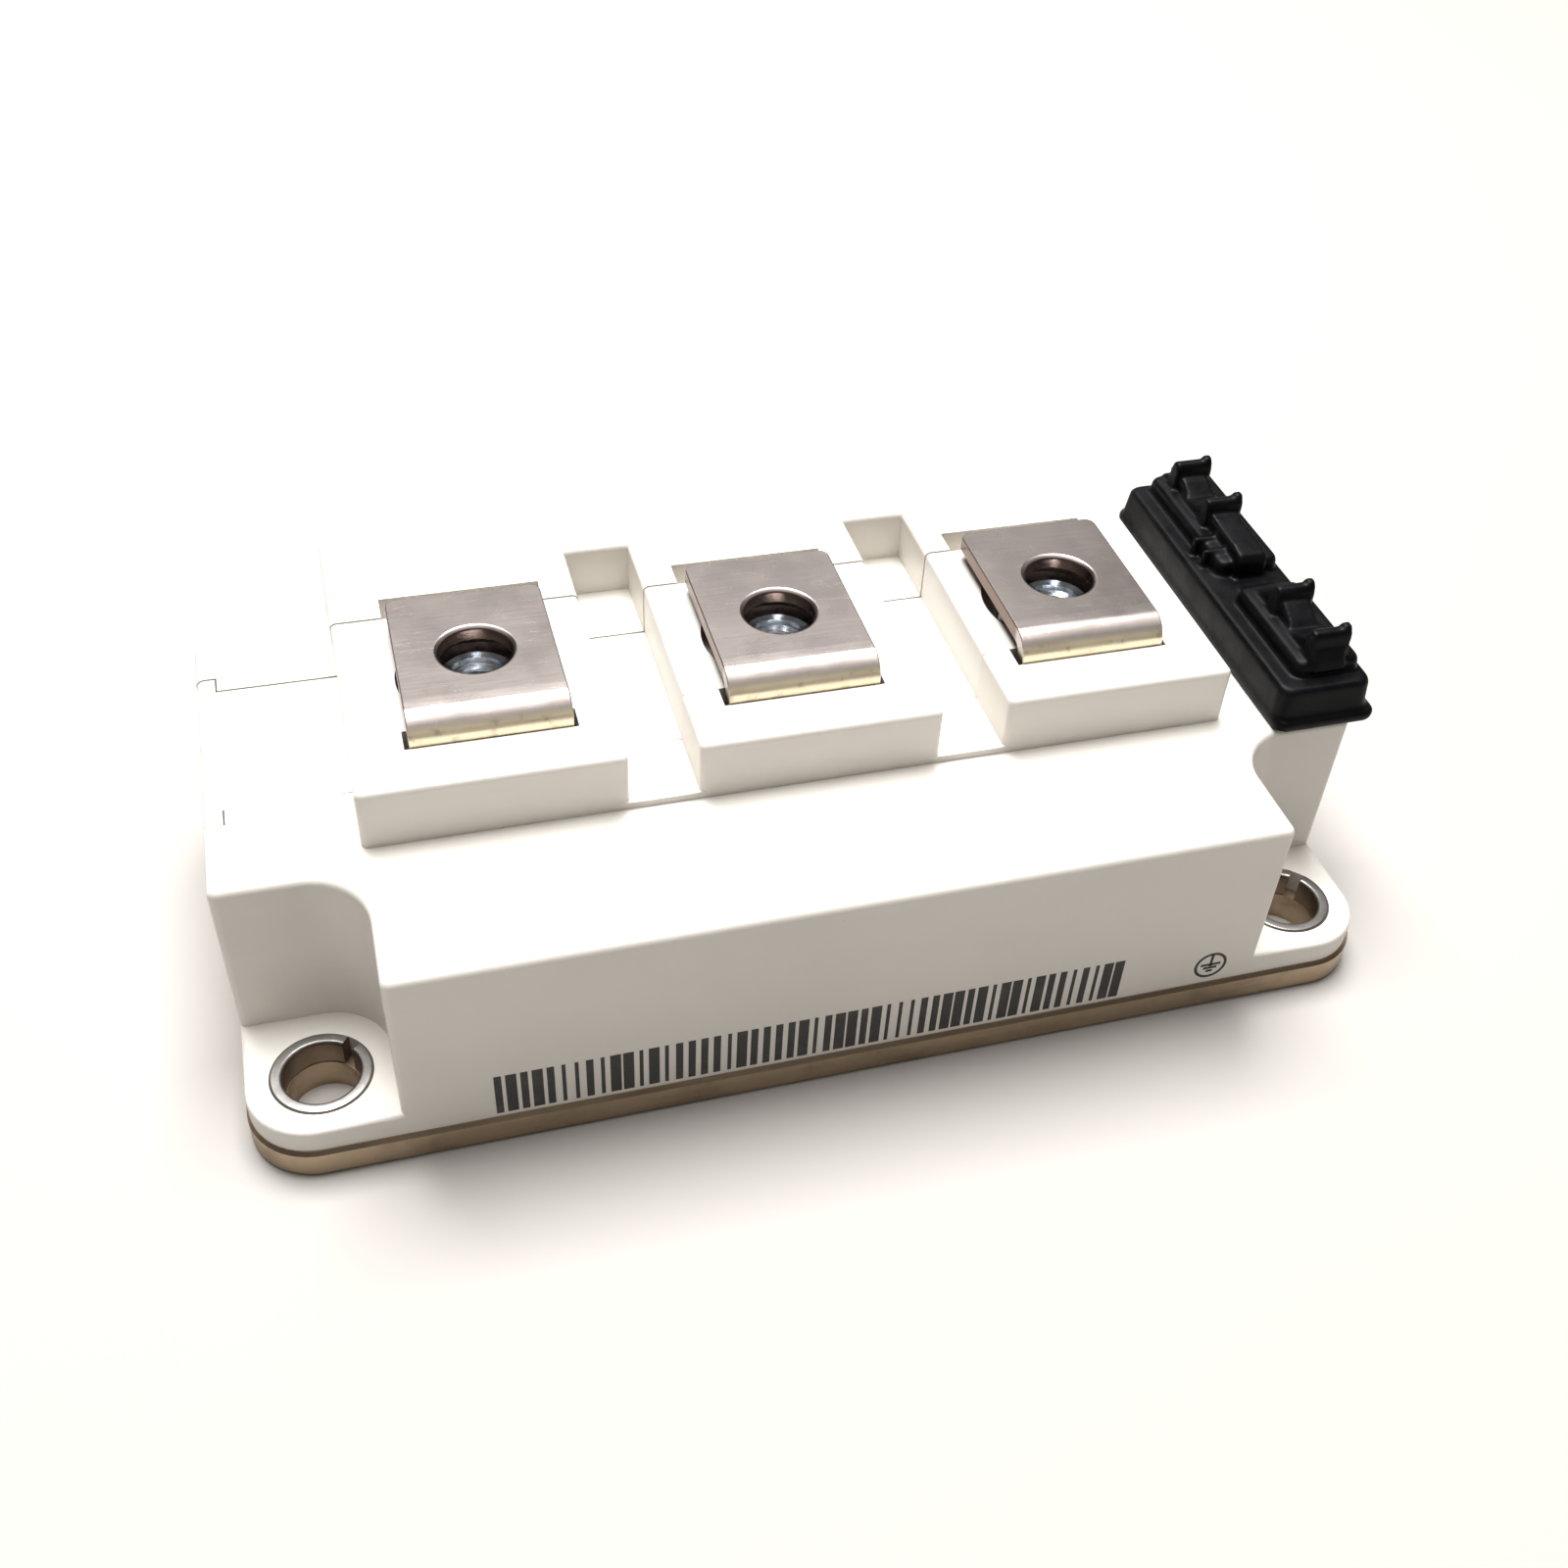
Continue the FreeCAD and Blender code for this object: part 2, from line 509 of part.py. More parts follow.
def build_housing():
    """The moulded housing: ears, deck, terminal blocks, tab plinth and the hollow under them."""
    body = make_body("housing")
    shape_housing_walls(body)
    shape_raised_blocks(body)
    shape_hollow(body)
    cut_carrier_channel(body)
    cut_terminal_pockets(body)
    cut_ear_holes(body)
    shape_tab_plinth(body)


def shape_housing_walls(body):
    """Flat ears at the four corners, and over them the walls with a deep recess above each ear."""
    ears = make_sketch(body, "ear_outline", offset="sizes.base_thickness")
    add_rounded_rectangle(ears, f"-{HOUSING_X}", HOUSING_X, f"-{HOUSING_Y}", HOUSING_Y,
                          "sizes.housing_corner_radius")
    pad(body, "ears", ears, "sizes.ear_thickness")
    fillet(body, "ear_rims", "sizes.ear_rounding", level(EAR_TOP))
    for name, across, along in (("long", HOUSING_X, SHOULDER_Y), ("wide", SHOULDER_X, HOUSING_Y)):
        walls = make_sketch(body, f"{name}_wall_outline", offset="sizes.base_thickness")
        add_rounded_rectangle(walls, f"-{across}", across, f"-{along}", along, "sizes.side_rounding")
        pad(body, f"{name}_walls", walls, "sizes.deck_height - sizes.base_thickness")
    across, along = number(SHOULDER_X), number(SHOULDER_Y)

    def in_recess(edge):
        centre = edge.BoundBox.Center
        return upright(edge) and max(abs(abs(centre.x) - across), abs(abs(centre.y) - along)) < PRECISION

    fillet(body, "recess_corners", "sizes.recess_radius", in_recess)
    fillet(body, "deck_edges", "sizes.deck_rounding", level("sizes.deck_height"))


def shape_raised_blocks(body):
    """Three terminal blocks joined along the back, with the gaps between them."""
    outline = make_sketch(body, "raised_outline", offset="sizes.deck_height - sizes.brace_depth")
    add_rectangle(outline, f"-{RAISED_X}", RAISED_X, "-sizes.raised_front", "sizes.raised_back")
    pad(body, "raised_part", outline, "sizes.raised_step + sizes.brace_depth")
    gaps = make_sketch(body, "gap_outlines", offset=RAISED_TOP)
    for name, middle in VALLEYS:
        add_rectangle(gaps, f"{middle} - sizes.valley_width / 2", f"{middle} + sizes.valley_width / 2",
                      f"-{PAST_Y}", "sizes.valley_back", name)
    pocket(body, "gaps", gaps, "sizes.raised_step - sizes.valley_step")
    notch = make_sketch(body, "notch_outline", offset=RAISED_TOP)
    add_rectangle(notch, f"{RAISED_X} - sizes.notch_length", PAST_X,
                  "sizes.raised_back - sizes.notch_width", PAST_Y)
    pocket(body, "corner_notch", notch, "sizes.raised_step")
    top, front = number(RAISED_TOP), number("-sizes.raised_front")

    def at_front(edge):
        box = edge.BoundBox
        return upright(edge) and max(abs(box.YMin - front), abs(box.ZMax - top)) < PRECISION

    fillet(body, "block_edges", "sizes.raised_rounding", any_of(level(RAISED_TOP), at_front))


def shape_hollow(body):
    """The open underside, with a rebate for the adhesive along its foot."""
    for name, across, along in CAVITY_PLANS:
        hollow = make_sketch(body, f"{name}_hollow_outline", offset=CAVITY_TOP)
        add_rectangle(hollow, f"-{across}", across, f"-{along}", along)
        pocket(body, f"{name}_hollow", hollow, f"{CAVITY_TOP} - sizes.base_thickness")
        rebate = make_sketch(body, f"{name}_rebate_outline",
                             offset="sizes.base_thickness + sizes.bead_height")
        add_rectangle(rebate, f"-{across} - sizes.bead_width", f"{across} + sizes.bead_width",
                      f"-{along} - sizes.bead_width", f"{along} + sizes.bead_width")
        pocket(body, f"{name}_rebate", rebate, "sizes.bead_height")


def cut_carrier_channel(body):
    """A trough under the deck and the slot that the nut carrier slides into from the left end."""
    trough = make_sketch(body, "trough_outline", offset=CAVITY_TOP)
    add_rectangle(trough, f"-{CAVITY_LONG_X}", f"{CARRIER_RIGHT} + sizes.trough_wall",
                  f"{POCKET_FRONT} - sizes.trough_wall", f"{POCKET_BACK} + sizes.trough_wall")
    pad(body, "trough", trough, f"{CAVITY_TOP} - {CARRIER_FLOOR} + sizes.trough_wall", backwards=True)
    slot = make_sketch(body, "slot_outline", offset=RAISED_TOP)
    add_rectangle(slot, f"-{PAST_X}", f"{CARRIER_RIGHT} + sizes.carrier_gap", SLOT_FRONT, SLOT_BACK)
    pocket(body, "carrier_slot", slot, f"{RAISED_TOP} - {CARRIER_FLOOR}")
    head = make_sketch(body, "head_outline", offset=RAISED_TOP)
    add_rectangle(head, f"-{PAST_X}", f"{HEAD_RIGHT} + sizes.carrier_gap",
                  f"{SLOT_FRONT} - sizes.head_overhang", f"{SLOT_BACK} + sizes.head_overhang")
    pocket(body, "head_slot", head, f"{RAISED_TOP} - {CARRIER_FLOOR}")


def cut_terminal_pockets(body):
    """Before and behind the nut carrier, the wells that each terminal strip comes up through."""
    wells = make_sketch(body, "front_well_outlines", offset=RAISED_TOP)
    backs = make_sketch(body, "back_well_outlines", offset=RAISED_TOP)
    for name, step in BLOCKS:
        left = f"{step} * sizes.terminal_pitch - {POCKET_HALF}"
        right = f"{step} * sizes.terminal_pitch + {POCKET_HALF}"
        add_rectangle(wells, left, right, POCKET_FRONT, "-sizes.carrier_front", name)
        add_rectangle(backs, left, right, "sizes.carrier_back", POCKET_BACK, name)
    pocket(body, "front_wells", wells, f"{RAISED_TOP} - {CARRIER_FLOOR} + sizes.trough_wall")
    pocket(body, "back_wells", backs, "sizes.pocket_depth")


def cut_ear_holes(body):
    """Seats for the steel sleeves in the ears."""
    holes = make_sketch(body, "sleeve_seats", offset=EAR_TOP)
    for name, across, along in ear_places():
        add_circle(holes, "sizes.sleeve_diameter + 2 * sizes.sleeve_gap", across, along, name)
    pocket(body, "sleeve_holes", holes, "sizes.ear_thickness")


def shape_tab_plinth(body):
    """The low plinth at the right end, the slits that hold the tabs and the room under them."""
    first, last = tab_row(1), tab_row(len(TAB_SIGNS))
    plinth = make_sketch(body, "plinth_outline", offset="sizes.deck_height - sizes.brace_depth")
    add_rectangle(plinth, f"{TAB_LEFT} - sizes.plinth_margin", f"{TAB_RIGHT} + sizes.plinth_margin",
                  f"{last} - sizes.plinth_end_margin", f"{first} + sizes.plinth_end_margin")
    pad(body, "plinth", plinth, "sizes.plinth_step + sizes.brace_depth")
    slits = make_sketch(body, "slit_outlines", offset=PLINTH_TOP)
    add_tab_slits(slits)
    pocket(body, "slits", slits, "sizes.plinth_step + sizes.roof")
    ceiling = f"{CAVITY_TOP} + sizes.chamber_relief"
    chamber = make_sketch(body, "chamber_outline", offset=ceiling)
    add_rectangle(chamber, TAB_LEFT, TAB_RIGHT, f"{last} - {TAB_SLACK}", f"{first} + {TAB_SLACK}")
    pocket(body, "chamber", chamber, f"{ceiling} - sizes.tab_foot_height + sizes.tab_gap")


def add_tab_slits(sketch):
    """The outline of each tab with its clearance."""
    for count in range(1, len(TAB_SIGNS) + 1):
        along = tab_row(count)
        add_rectangle(sketch, TAB_LEFT, TAB_RIGHT, f"{along} - {TAB_SLACK}", f"{along} + {TAB_SLACK}",
                      f"tab_{count}")


def build_seal_bead():
    """The bead of adhesive in the housing's rebate."""
    body = make_body("seal_bead")
    for name, across, along in CAVITY_PLANS:
        outer = make_sketch(body, f"{name}_outer_outline", offset="sizes.base_thickness")
        add_rectangle(outer, f"-{across} - sizes.bead_width", f"{across} + sizes.bead_width",
                      f"-{along} - sizes.bead_width", f"{along} + sizes.bead_width")
        pad(body, f"{name}_bead", outer, "sizes.bead_height")
    for name, across, along in CAVITY_PLANS:
        inner = make_sketch(body, f"{name}_inner_outline",
                            offset="sizes.base_thickness + sizes.bead_height")
        add_rectangle(inner, f"-{across}", across, f"-{along}", along)
        pocket(body, f"{name}_opening", inner, "sizes.bead_height")


def build_nut_carrier():
    """The bar that slides in from the left end, fills the blocks and holds the three nuts."""
    body = make_body("nut_carrier")
    profile = make_sketch(body, "bar_profile", "XZ_Plane", "-sizes.carrier_back")
    skyline = [(f"-{HOUSING_X}", CARRIER_FLOOR), (f"-{HOUSING_X}", "sizes.deck_height"),
               (f"-{RAISED_X}", "sizes.deck_height"), (f"-{RAISED_X}", RAISED_TOP)]
    shoulders = [f"-{RAISED_X}"]
    for _, middle in VALLEYS:
        left, right = f"{middle} - sizes.valley_width / 2", f"{middle} + sizes.valley_width / 2"
        skyline += [(left, RAISED_TOP), (left, VALLEY_TOP), (right, VALLEY_TOP), (right, RAISED_TOP)]
        shoulders += [left, right]
    skyline += [(CARRIER_RIGHT, RAISED_TOP), (CARRIER_RIGHT, CARRIER_FLOOR)]
    add_outline(profile, skyline)
    pad(body, "bar", profile, "sizes.carrier_front + sizes.carrier_back")
    head = make_sketch(body, "head_outline", offset=CARRIER_FLOOR)
    add_rectangle(head, f"-{HOUSING_X}", HEAD_RIGHT, "-sizes.carrier_front - sizes.head_overhang",
                  "sizes.carrier_back + sizes.head_overhang")
    pad(body, "head", head, "sizes.carrier_depth")
    fillet(body, "head_edge", "sizes.deck_rounding", lengthwise(f"-{HOUSING_X}", "sizes.deck_height"))
    fillet(body, "block_edges", "sizes.raised_rounding",
           any_of(*[lengthwise(place, RAISED_TOP) for place in shoulders]))
    seats = make_sketch(body, "nut_seats", offset=RAISED_TOP)
    mouths = make_sketch(body, "nut_mouths", offset=RAISED_TOP)
    tips = make_sketch(body, "screw_tips", offset=NUT_SEAT)
    for name, step in BLOCKS:
        across = f"{step} * sizes.terminal_pitch"
        add_hexagon(seats, "sizes.nut_flats + 2 * sizes.nut_gap", across, name)
        add_circle(mouths, "sizes.nut_relief_diameter", across, name=name)
        add_circle(tips, "sizes.screw_tip_diameter", across, name=name)
    pocket(body, "nut_pockets", seats, "sizes.nut_seat_depth")
    pocket(body, "nut_reliefs", mouths, "sizes.nut_relief_depth")
    pocket(body, "screw_rooms", tips, "sizes.screw_tip_depth")


def build_terminal(name, step):
    """A flat strip: the contact face on top, a leg down through its well and a foot on its track."""
    body = make_body(f"terminal_{name}")
    place_body(body, f"{step} * sizes.terminal_pitch")
    profile = make_sketch(body, "strip_profile", "YZ_Plane", "-sizes.terminal_width / 2")
    front, toe = "-sizes.terminal_front", "sizes.foot_length - sizes.terminal_front"
    under = f"{CONTACT_TOP} - sizes.terminal_thickness"
    over = f"{TRACK_TOP} + sizes.terminal_thickness"
    add_outline(profile, [("sizes.terminal_back", CONTACT_TOP), (front, CONTACT_TOP), (front, TRACK_TOP),
                          (toe, TRACK_TOP), (toe, over), (STRIP_BACK, over), (STRIP_BACK, under),
                          ("sizes.terminal_back", under)])
    pad(body, "strip", profile, "sizes.terminal_width")
    fillet(body, "outer_bends", "sizes.terminal_bend_radius + sizes.terminal_thickness",
           any_of(crosswise(front, CONTACT_TOP), crosswise(front, TRACK_TOP)))
    fillet(body, "inner_bends", "sizes.terminal_bend_radius",
           any_of(crosswise(STRIP_BACK, under), crosswise(STRIP_BACK, over)))
    side = FOOT_SIDES[name]
    cut = make_sketch(body, "leg_cut", "XZ_Plane", "sizes.terminal_front")
    ends = (f"{-side} * sizes.terminal_width / 2",
            f"{side} * (sizes.terminal_width / 2 - sizes.foot_width)")
    shoulder = f"{TRACK_TOP} + sizes.leg_height"
    add_rectangle(cut, ends[side < 0], ends[side > 0], "sizes.base_thickness", shoulder)
    pocket(body, "narrow_leg", cut, "sizes.foot_length")
    fillet(body, "leg_shoulder", "sizes.leg_shoulder_radius", lengthwise(ends[1], shoulder))
    back = number("sizes.terminal_back")
    fillet(body, "back_corners", "sizes.terminal_corner_radius",
           lambda edge: upright(edge) and abs(edge.BoundBox.YMax - back) < PRECISION)
    hole = make_sketch(body, "hole_centre", offset=CONTACT_TOP)
    add_circle(hole, "sizes.terminal_hole_diameter")
    pocket(body, "screw_hole", hole, "sizes.terminal_thickness")
    reach = number("sizes.terminal_hole_diameter")
    chamfer(body, "hole_rim", "sizes.terminal_hole_chamfer",
            lambda edge: level(CONTACT_TOP)(edge) and abs(edge.BoundBox.XLength - reach) < PRECISION)


def build_nut(name, step):
    """A hexagon nut for the terminal screw, loose in its pocket."""
    body = make_body(f"nut_{name}")
    place_body(body, f"{step} * sizes.terminal_pitch")
    outline = make_sketch(body, "nut_outline", offset=NUT_SEAT)
    add_hexagon(outline, "sizes.nut_flats")
    pad(body, "hexagon", outline, "sizes.nut_height")
    bore = make_sketch(body, "bore_outline", offset=f"{NUT_SEAT} + sizes.nut_height")
    add_circle(bore, "sizes.nut_bore")
    pocket(body, "bore", bore, "sizes.nut_height")
    reach = number("sizes.nut_bore")
    chamfer(body, "countersinks", "sizes.nut_countersink",
            lambda edge: max(abs(edge.BoundBox.XLength - reach), edge.BoundBox.ZLength) < PRECISION)


def build_sleeve(name, across, along):
    """A rolled steel sleeve that takes the mounting screw's load through an ear."""
    body = make_body(f"sleeve_{name}")
    place_body(body, across, along)
    ring = make_sketch(body, "ring_outline", offset="sizes.base_thickness")
    add_circle(ring, "sizes.sleeve_diameter", name="outside")
    add_circle(ring, "sizes.sleeve_bore", name="bore")
    pad(body, "ring", ring, "sizes.ear_thickness + sizes.sleeve_proud")
    chamfer(body, "rims", "sizes.sleeve_chamfer", level(f"{EAR_TOP} + sizes.sleeve_proud"))
    slit = make_sketch(body, "slit_outline", offset=f"{EAR_TOP} + sizes.sleeve_proud")
    add_rectangle(slit, "-sizes.sleeve_slit / 2", "sizes.sleeve_slit / 2", "sizes.sleeve_bore / 4",
                  "sizes.sleeve_diameter")
    pocket(body, "slit", slit, "sizes.ear_thickness + sizes.sleeve_proud")


def build_signal_tab(count, row):
    """A push-on tab with a foot under the deck, where its lead is soldered."""
    body = make_body(f"signal_tab_{count}")
    place_body(body, TAB_X)
    away = TAB_SIGNS[count - 1][0]
    along = tab_row(count)
    outer = f"{along} + {away} * sizes.tab_thickness / 2"
    inner = f"{along} - {away} * sizes.tab_thickness / 2"
    toe = f"{row} - {away} * sizes.tab_foot_margin"
    profile = make_sketch(body, "tab_profile", "YZ_Plane", "-sizes.tab_width / 2")
    add_outline(profile, [(outer, TAB_TOP), (outer, "sizes.tab_foot_height"),
                          (toe, "sizes.tab_foot_height"), (toe, LEAD_START),
                          (inner, LEAD_START), (inner, TAB_TOP)])
    pad(body, "blade_and_foot", profile, "sizes.tab_width")
    fillet(body, "inner_bend", "sizes.tab_bend_radius", crosswise(inner, LEAD_START))
    fillet(body, "outer_bend", "sizes.tab_bend_radius + sizes.tab_thickness",
           crosswise(outer, "sizes.tab_foot_height"))
    top = number(TAB_TOP)
    chamfer(body, "tip", "sizes.tab_tip_chamfer",
            lambda edge: level(TAB_TOP)(edge) and edge.BoundBox.XLength < PRECISION)
    hole = make_sketch(body, "detent_centre", "XZ_Plane", f"-{along} - sizes.tab_thickness")
    add_circle(hole, "sizes.tab_hole_diameter", "0", f"{TAB_TOP} - sizes.tab_hole_drop")
    pocket(body, "detent", hole, "sizes.tab_thickness * 2", backwards=True)


def build_signal_lead(count, row, target):
    """A bent strip from the foot of a tab to its track, in one upright plane."""
    body = make_body(f"signal_lead_{count}")
    place_body(body, along=row)
    profile = make_sketch(body, "lead_profile", "XZ_Plane", "-sizes.lead_width / 2")
    half, top = "sizes.lead_thickness / 2", "sizes.lead_height"
    under = "sizes.lead_height - sizes.lead_thickness"
    outer = (f"{TAB_X} + {half}", f"{target} - {half}")
    inner = (f"{TAB_X} - {half}", f"{target} + {half}")
    add_outline(profile, [(outer[0], LEAD_START), (outer[0], top),
                          (outer[1], top), (outer[1], TRACK_TOP),
                          (inner[1], TRACK_TOP), (inner[1], under),
                          (inner[0], under), (inner[0], LEAD_START)])
    pad(body, "lead", profile, "sizes.lead_width")
    fillet(body, "outer_bends", "sizes.link_bend_radius + sizes.lead_thickness",
           any_of(*[lengthwise(place, top) for place in outer]))
    fillet(body, "inner_bends", "sizes.link_bend_radius",
           any_of(*[lengthwise(place, under) for place in inner]))


def build_shorting_cap():
    """The black moulded cap that covers the signal tabs: stepped body, fins and gussets."""
    body = make_body("shorting_cap")
    shape_cap_steps(body)
    shape_cap_fins(body)
    hollow = make_sketch(body, "hollow_outline", offset="sizes.deck_height")
    add_cap_rectangle(hollow, "sizes.cap_ledge + sizes.cap_wall")
    pocket(body, "hollow", hollow, f"{CAP_HOLLOW_TOP} - sizes.deck_height", backwards=True)
    slits = make_sketch(body, "slit_outlines", offset=CAP_HOLLOW_TOP)
    add_tab_slits(slits)
    pocket(body, "slits", slits, f"{TAB_TOP} + sizes.tab_gap - {CAP_HOLLOW_TOP}", backwards=True)


def add_cap_rectangle(sketch, inset):
    """The cap's rim outline moved inwards by an inset, its corners rounded less by as much."""
    half_width = f"(sizes.cap_rim_width / 2 - ({inset}))"
    half_length = f"(sizes.cap_rim_length / 2 - ({inset}))"
    add_rounded_rectangle(sketch, f"{TAB_X} - {half_width}", f"{TAB_X} + {half_width}",
                          f"sizes.tab_row_centre - {half_length}", f"sizes.tab_row_centre + {half_length}",
                          f"sizes.cap_corner_radius - ({inset})")


def shape_cap_steps(body):
    """A rim and three steps, each inside the one below, with bevelled edges."""
    steps = (("rim", "0", "sizes.cap_rim_height"),
             ("first_step", "sizes.cap_ledge", "sizes.cap_first_height"),
             ("second_step", "2 * sizes.cap_ledge", "sizes.cap_second_height"),
             ("last_step", "2 * sizes.cap_ledge + sizes.cap_last_ledge", "sizes.cap_last_height"))
    for name, inset, height in steps:
        outline = make_sketch(body, f"{name}_outline", offset="sizes.deck_height")
        add_cap_rectangle(outline, inset)
        pad(body, name, outline, height)
        chamfer(body, f"{name}_edge", "sizes.cap_bevel", level(f"sizes.deck_height + {height}"))


def shape_cap_fins(body):
    """A fin over each tab, with a gusset in front of the first three."""
    foot = "sizes.deck_height + sizes.cap_last_height"
    gussets = make_sketch(body, "gusset_outlines", offset=foot)
    for count, length in enumerate(CAP_GUSSETS, start=1):
        add_rectangle(gussets, f"{TAB_X} - sizes.cap_gusset_width / 2",
                      f"{TAB_X} + sizes.cap_gusset_width / 2",
                      f"{tab_row(count)} - {length}", tab_row(count), f"gusset_{count}")
    pad(body, "gussets", gussets, "sizes.cap_gusset_height - sizes.cap_last_height")
    chamfer(body, "gusset_edges", "sizes.cap_bevel", level("sizes.deck_height + sizes.cap_gusset_height"))
    fins = make_sketch(body, "fin_outlines", offset=foot)
    for count in range(1, len(TAB_SIGNS) + 1):
        add_rectangle(fins, f"{TAB_X} - sizes.cap_fin_width / 2", f"{TAB_X} + sizes.cap_fin_width / 2",
                      f"{tab_row(count)} - sizes.cap_fin_thickness / 2",
                      f"{tab_row(count)} + sizes.cap_fin_thickness / 2", f"fin_{count}")
    pad(body, "fins", fins, "sizes.cap_fin_height - sizes.cap_last_height")
    chamfer(body, "fin_edges", "sizes.cap_bevel", level("sizes.deck_height + sizes.cap_fin_height"))


def build_substrate(name, side):
    """Solder, copper backing, ceramic plate and copper tracks of one switch."""
    layers = (("solder", COPPER_INNER, COPPER_OUTER, COPPER_Y,
               "sizes.base_thickness", "sizes.solder_thickness"),
              ("backing", COPPER_INNER, COPPER_OUTER, COPPER_Y,
               SOLDER_TOP, "sizes.backing_thickness"),
              ("ceramic", CERAMIC_INNER, CERAMIC_OUTER, "(sizes.substrate_width / 2)",
               BACKING_TOP, "sizes.ceramic_thickness"))
    for layer, inner, outer, along, height, thickness in layers:
        body = make_body(f"substrate_{layer}_{name}")
        outline = make_sketch(body, "layer_outline", offset=height)
        add_rectangle(outline, *between(side, inner, outer), f"-{along}", along)
        pad(body, "layer", outline, thickness)
    body = make_body(f"substrate_tracks_{name}")
    outline = make_sketch(body, "track_outlines", offset=CERAMIC_TOP)
    for track, inner, outer in (("emitter", COPPER_INNER, EMITTER_OUTER),
                                ("gate", GATE_INNER, GATE_OUTER),
                                ("collector", COLLECTOR_INNER, COPPER_OUTER)):
        add_rectangle(outline, *between(side, inner, outer), f"-{COPPER_Y}", COPPER_Y, track)
    pad(body, "tracks", outline, "sizes.track_thickness")


def build_chip(name, side, row, inner, size):
    """A square chip soldered to the collector track."""
    body = make_body(name)
    place_body(body, along=f"{row} * sizes.chip_pitch")
    outline = make_sketch(body, "chip_outline", offset=TRACK_TOP)
    add_rectangle(outline, *between(side, inner, f"({inner} + {size})"), f"-{size} / 2", f"{size} / 2")
    pad(body, "chip", outline, "sizes.chip_thickness")


def build_bond_wires(name, side):
    """Looped wires from each transistor to its tracks and from each diode to its transistor."""
    body = make_body(f"bond_wires_{name}")
    middle = f"({TRANSISTOR_INNER} + sizes.transistor_size / 2)"
    emitter = (f"({EMITTER_OUTER} - sizes.wire_margin - sizes.wire_foot)", TRACK_TOP, middle)
    gate = (f"({GATE_MIDDLE} - sizes.wire_foot / 2)", TRACK_TOP,
            f"({TRANSISTOR_INNER} + sizes.wire_margin)")
    diode = (f"({TRANSISTOR_OUTER} - sizes.wire_margin - sizes.wire_foot)", CHIP_TOP,
             f"({DIODE_INNER} + sizes.diode_size / 2)")
    wires = [("gate_wire", gate, "sizes.gate_wire_place")]
    for end, sign in ENDS:
        along = f"{sign} * sizes.wire_pitch / 2"
        wires += [(f"emitter_wire_{end}", emitter, along), (f"diode_wire_{end}", diode, along)]
    loops = []
    for label, (first, first_height, second), along in wires:
        plane = f"-({along} - sizes.chip_pitch + sizes.wire_size / 2)"
        profile = make_sketch(body, f"{label}_profile", "XZ_Plane", plane)
        top = f"{CHIP_TOP} + sizes.wire_rise"
        leave, land = f"{first} + sizes.wire_foot", f"{second} + sizes.wire_foot"
        lower = [(first, first_height), (leave, first_height), (f"({leave} + {second}) / 2", top),
                 (second, CHIP_TOP), (land, CHIP_TOP)]
        upper = [(across, f"{height} + sizes.wire_size") for across, height in reversed(lower)]
        add_outline(profile, [(f"{side} * ({across})", height) for across, height in lower + upper])
        loops.append(pad(body, label, profile, "sizes.wire_size"))
    rows = body.newObject("PartDesign::LinearPattern", "rows")
    rows.Originals = loops
    rows.Direction = (next(axis for axis in body.Origin.OriginFeatures if axis.Role == "Y_Axis"), [""])
    rows.Occurrences = len(CHIP_ROWS)
    rows.setExpression("Length", f"{len(CHIP_ROWS) - 1} * sizes.chip_pitch")
    body.Tip = rows
    settle(rows)


def build_phase_link():
    """The bent strip that joins the left collector track to the right emitter track."""
    body = make_body("phase_link")
    place_body(body, along="sizes.chip_pitch / 2")
    profile = make_sketch(body, "link_profile", "XZ_Plane", "-sizes.link_width / 2")
    left_toe = f"-({COLLECTOR_INNER} + sizes.chip_margin + sizes.link_foot)"
    right_toe = f"({EMITTER_OUTER} - sizes.chip_margin)"
    left, right = f"({left_toe} + sizes.link_foot)", f"({right_toe} - sizes.link_foot)"
    inner_left, inner_right = f"{left} + sizes.link_thickness", f"{right} - sizes.link_thickness"
    over = f"{TRACK_TOP} + sizes.link_thickness"
    under = "sizes.link_height - sizes.link_thickness"
    add_outline(profile, [(left_toe, TRACK_TOP), (left_toe, over), (left, over),
                          (left, "sizes.link_height"), (right, "sizes.link_height"),
                          (right, over), (right_toe, over), (right_toe, TRACK_TOP),
                          (inner_right, TRACK_TOP), (inner_right, under), (inner_left, under),
                          (inner_left, TRACK_TOP)])
    pad(body, "link", profile, "sizes.link_width")
    fillet(body, "outer_bends", "sizes.link_bend_radius + sizes.link_thickness",
           any_of(*[lengthwise(place, "sizes.link_height") for place in (left, right)]))
    fillet(body, "inner_bends", "sizes.link_bend_radius",
           any_of(*[lengthwise(place, under) for place in (inner_left, inner_right)]))


def build_silicone_gel(covered):
    """The soft gel that fills the lower part of the hollow around everything it covers."""
    fill = doc.addObject("PartDesign::Body", "gel_fill")
    for name, across, along in CAVITY_PLANS:
        outline = make_sketch(fill, f"{name}_fill_outline", offset="sizes.base_thickness")
        add_rectangle(outline, f"-{across}", across, f"-{along}", along)
        pad(fill, f"{name}_fill", outline, "sizes.gel_height - sizes.base_thickness")
    inside = doc.addObject("Part::Compound", "covered_pieces")
    inside.Links = covered
    gel = doc.addObject("Part::Cut", "silicone_gel")
    gel.Label = "silicone_gel"
    gel.Base = fill
    gel.Tool = inside
    settle(gel)
    pieces.append(gel)


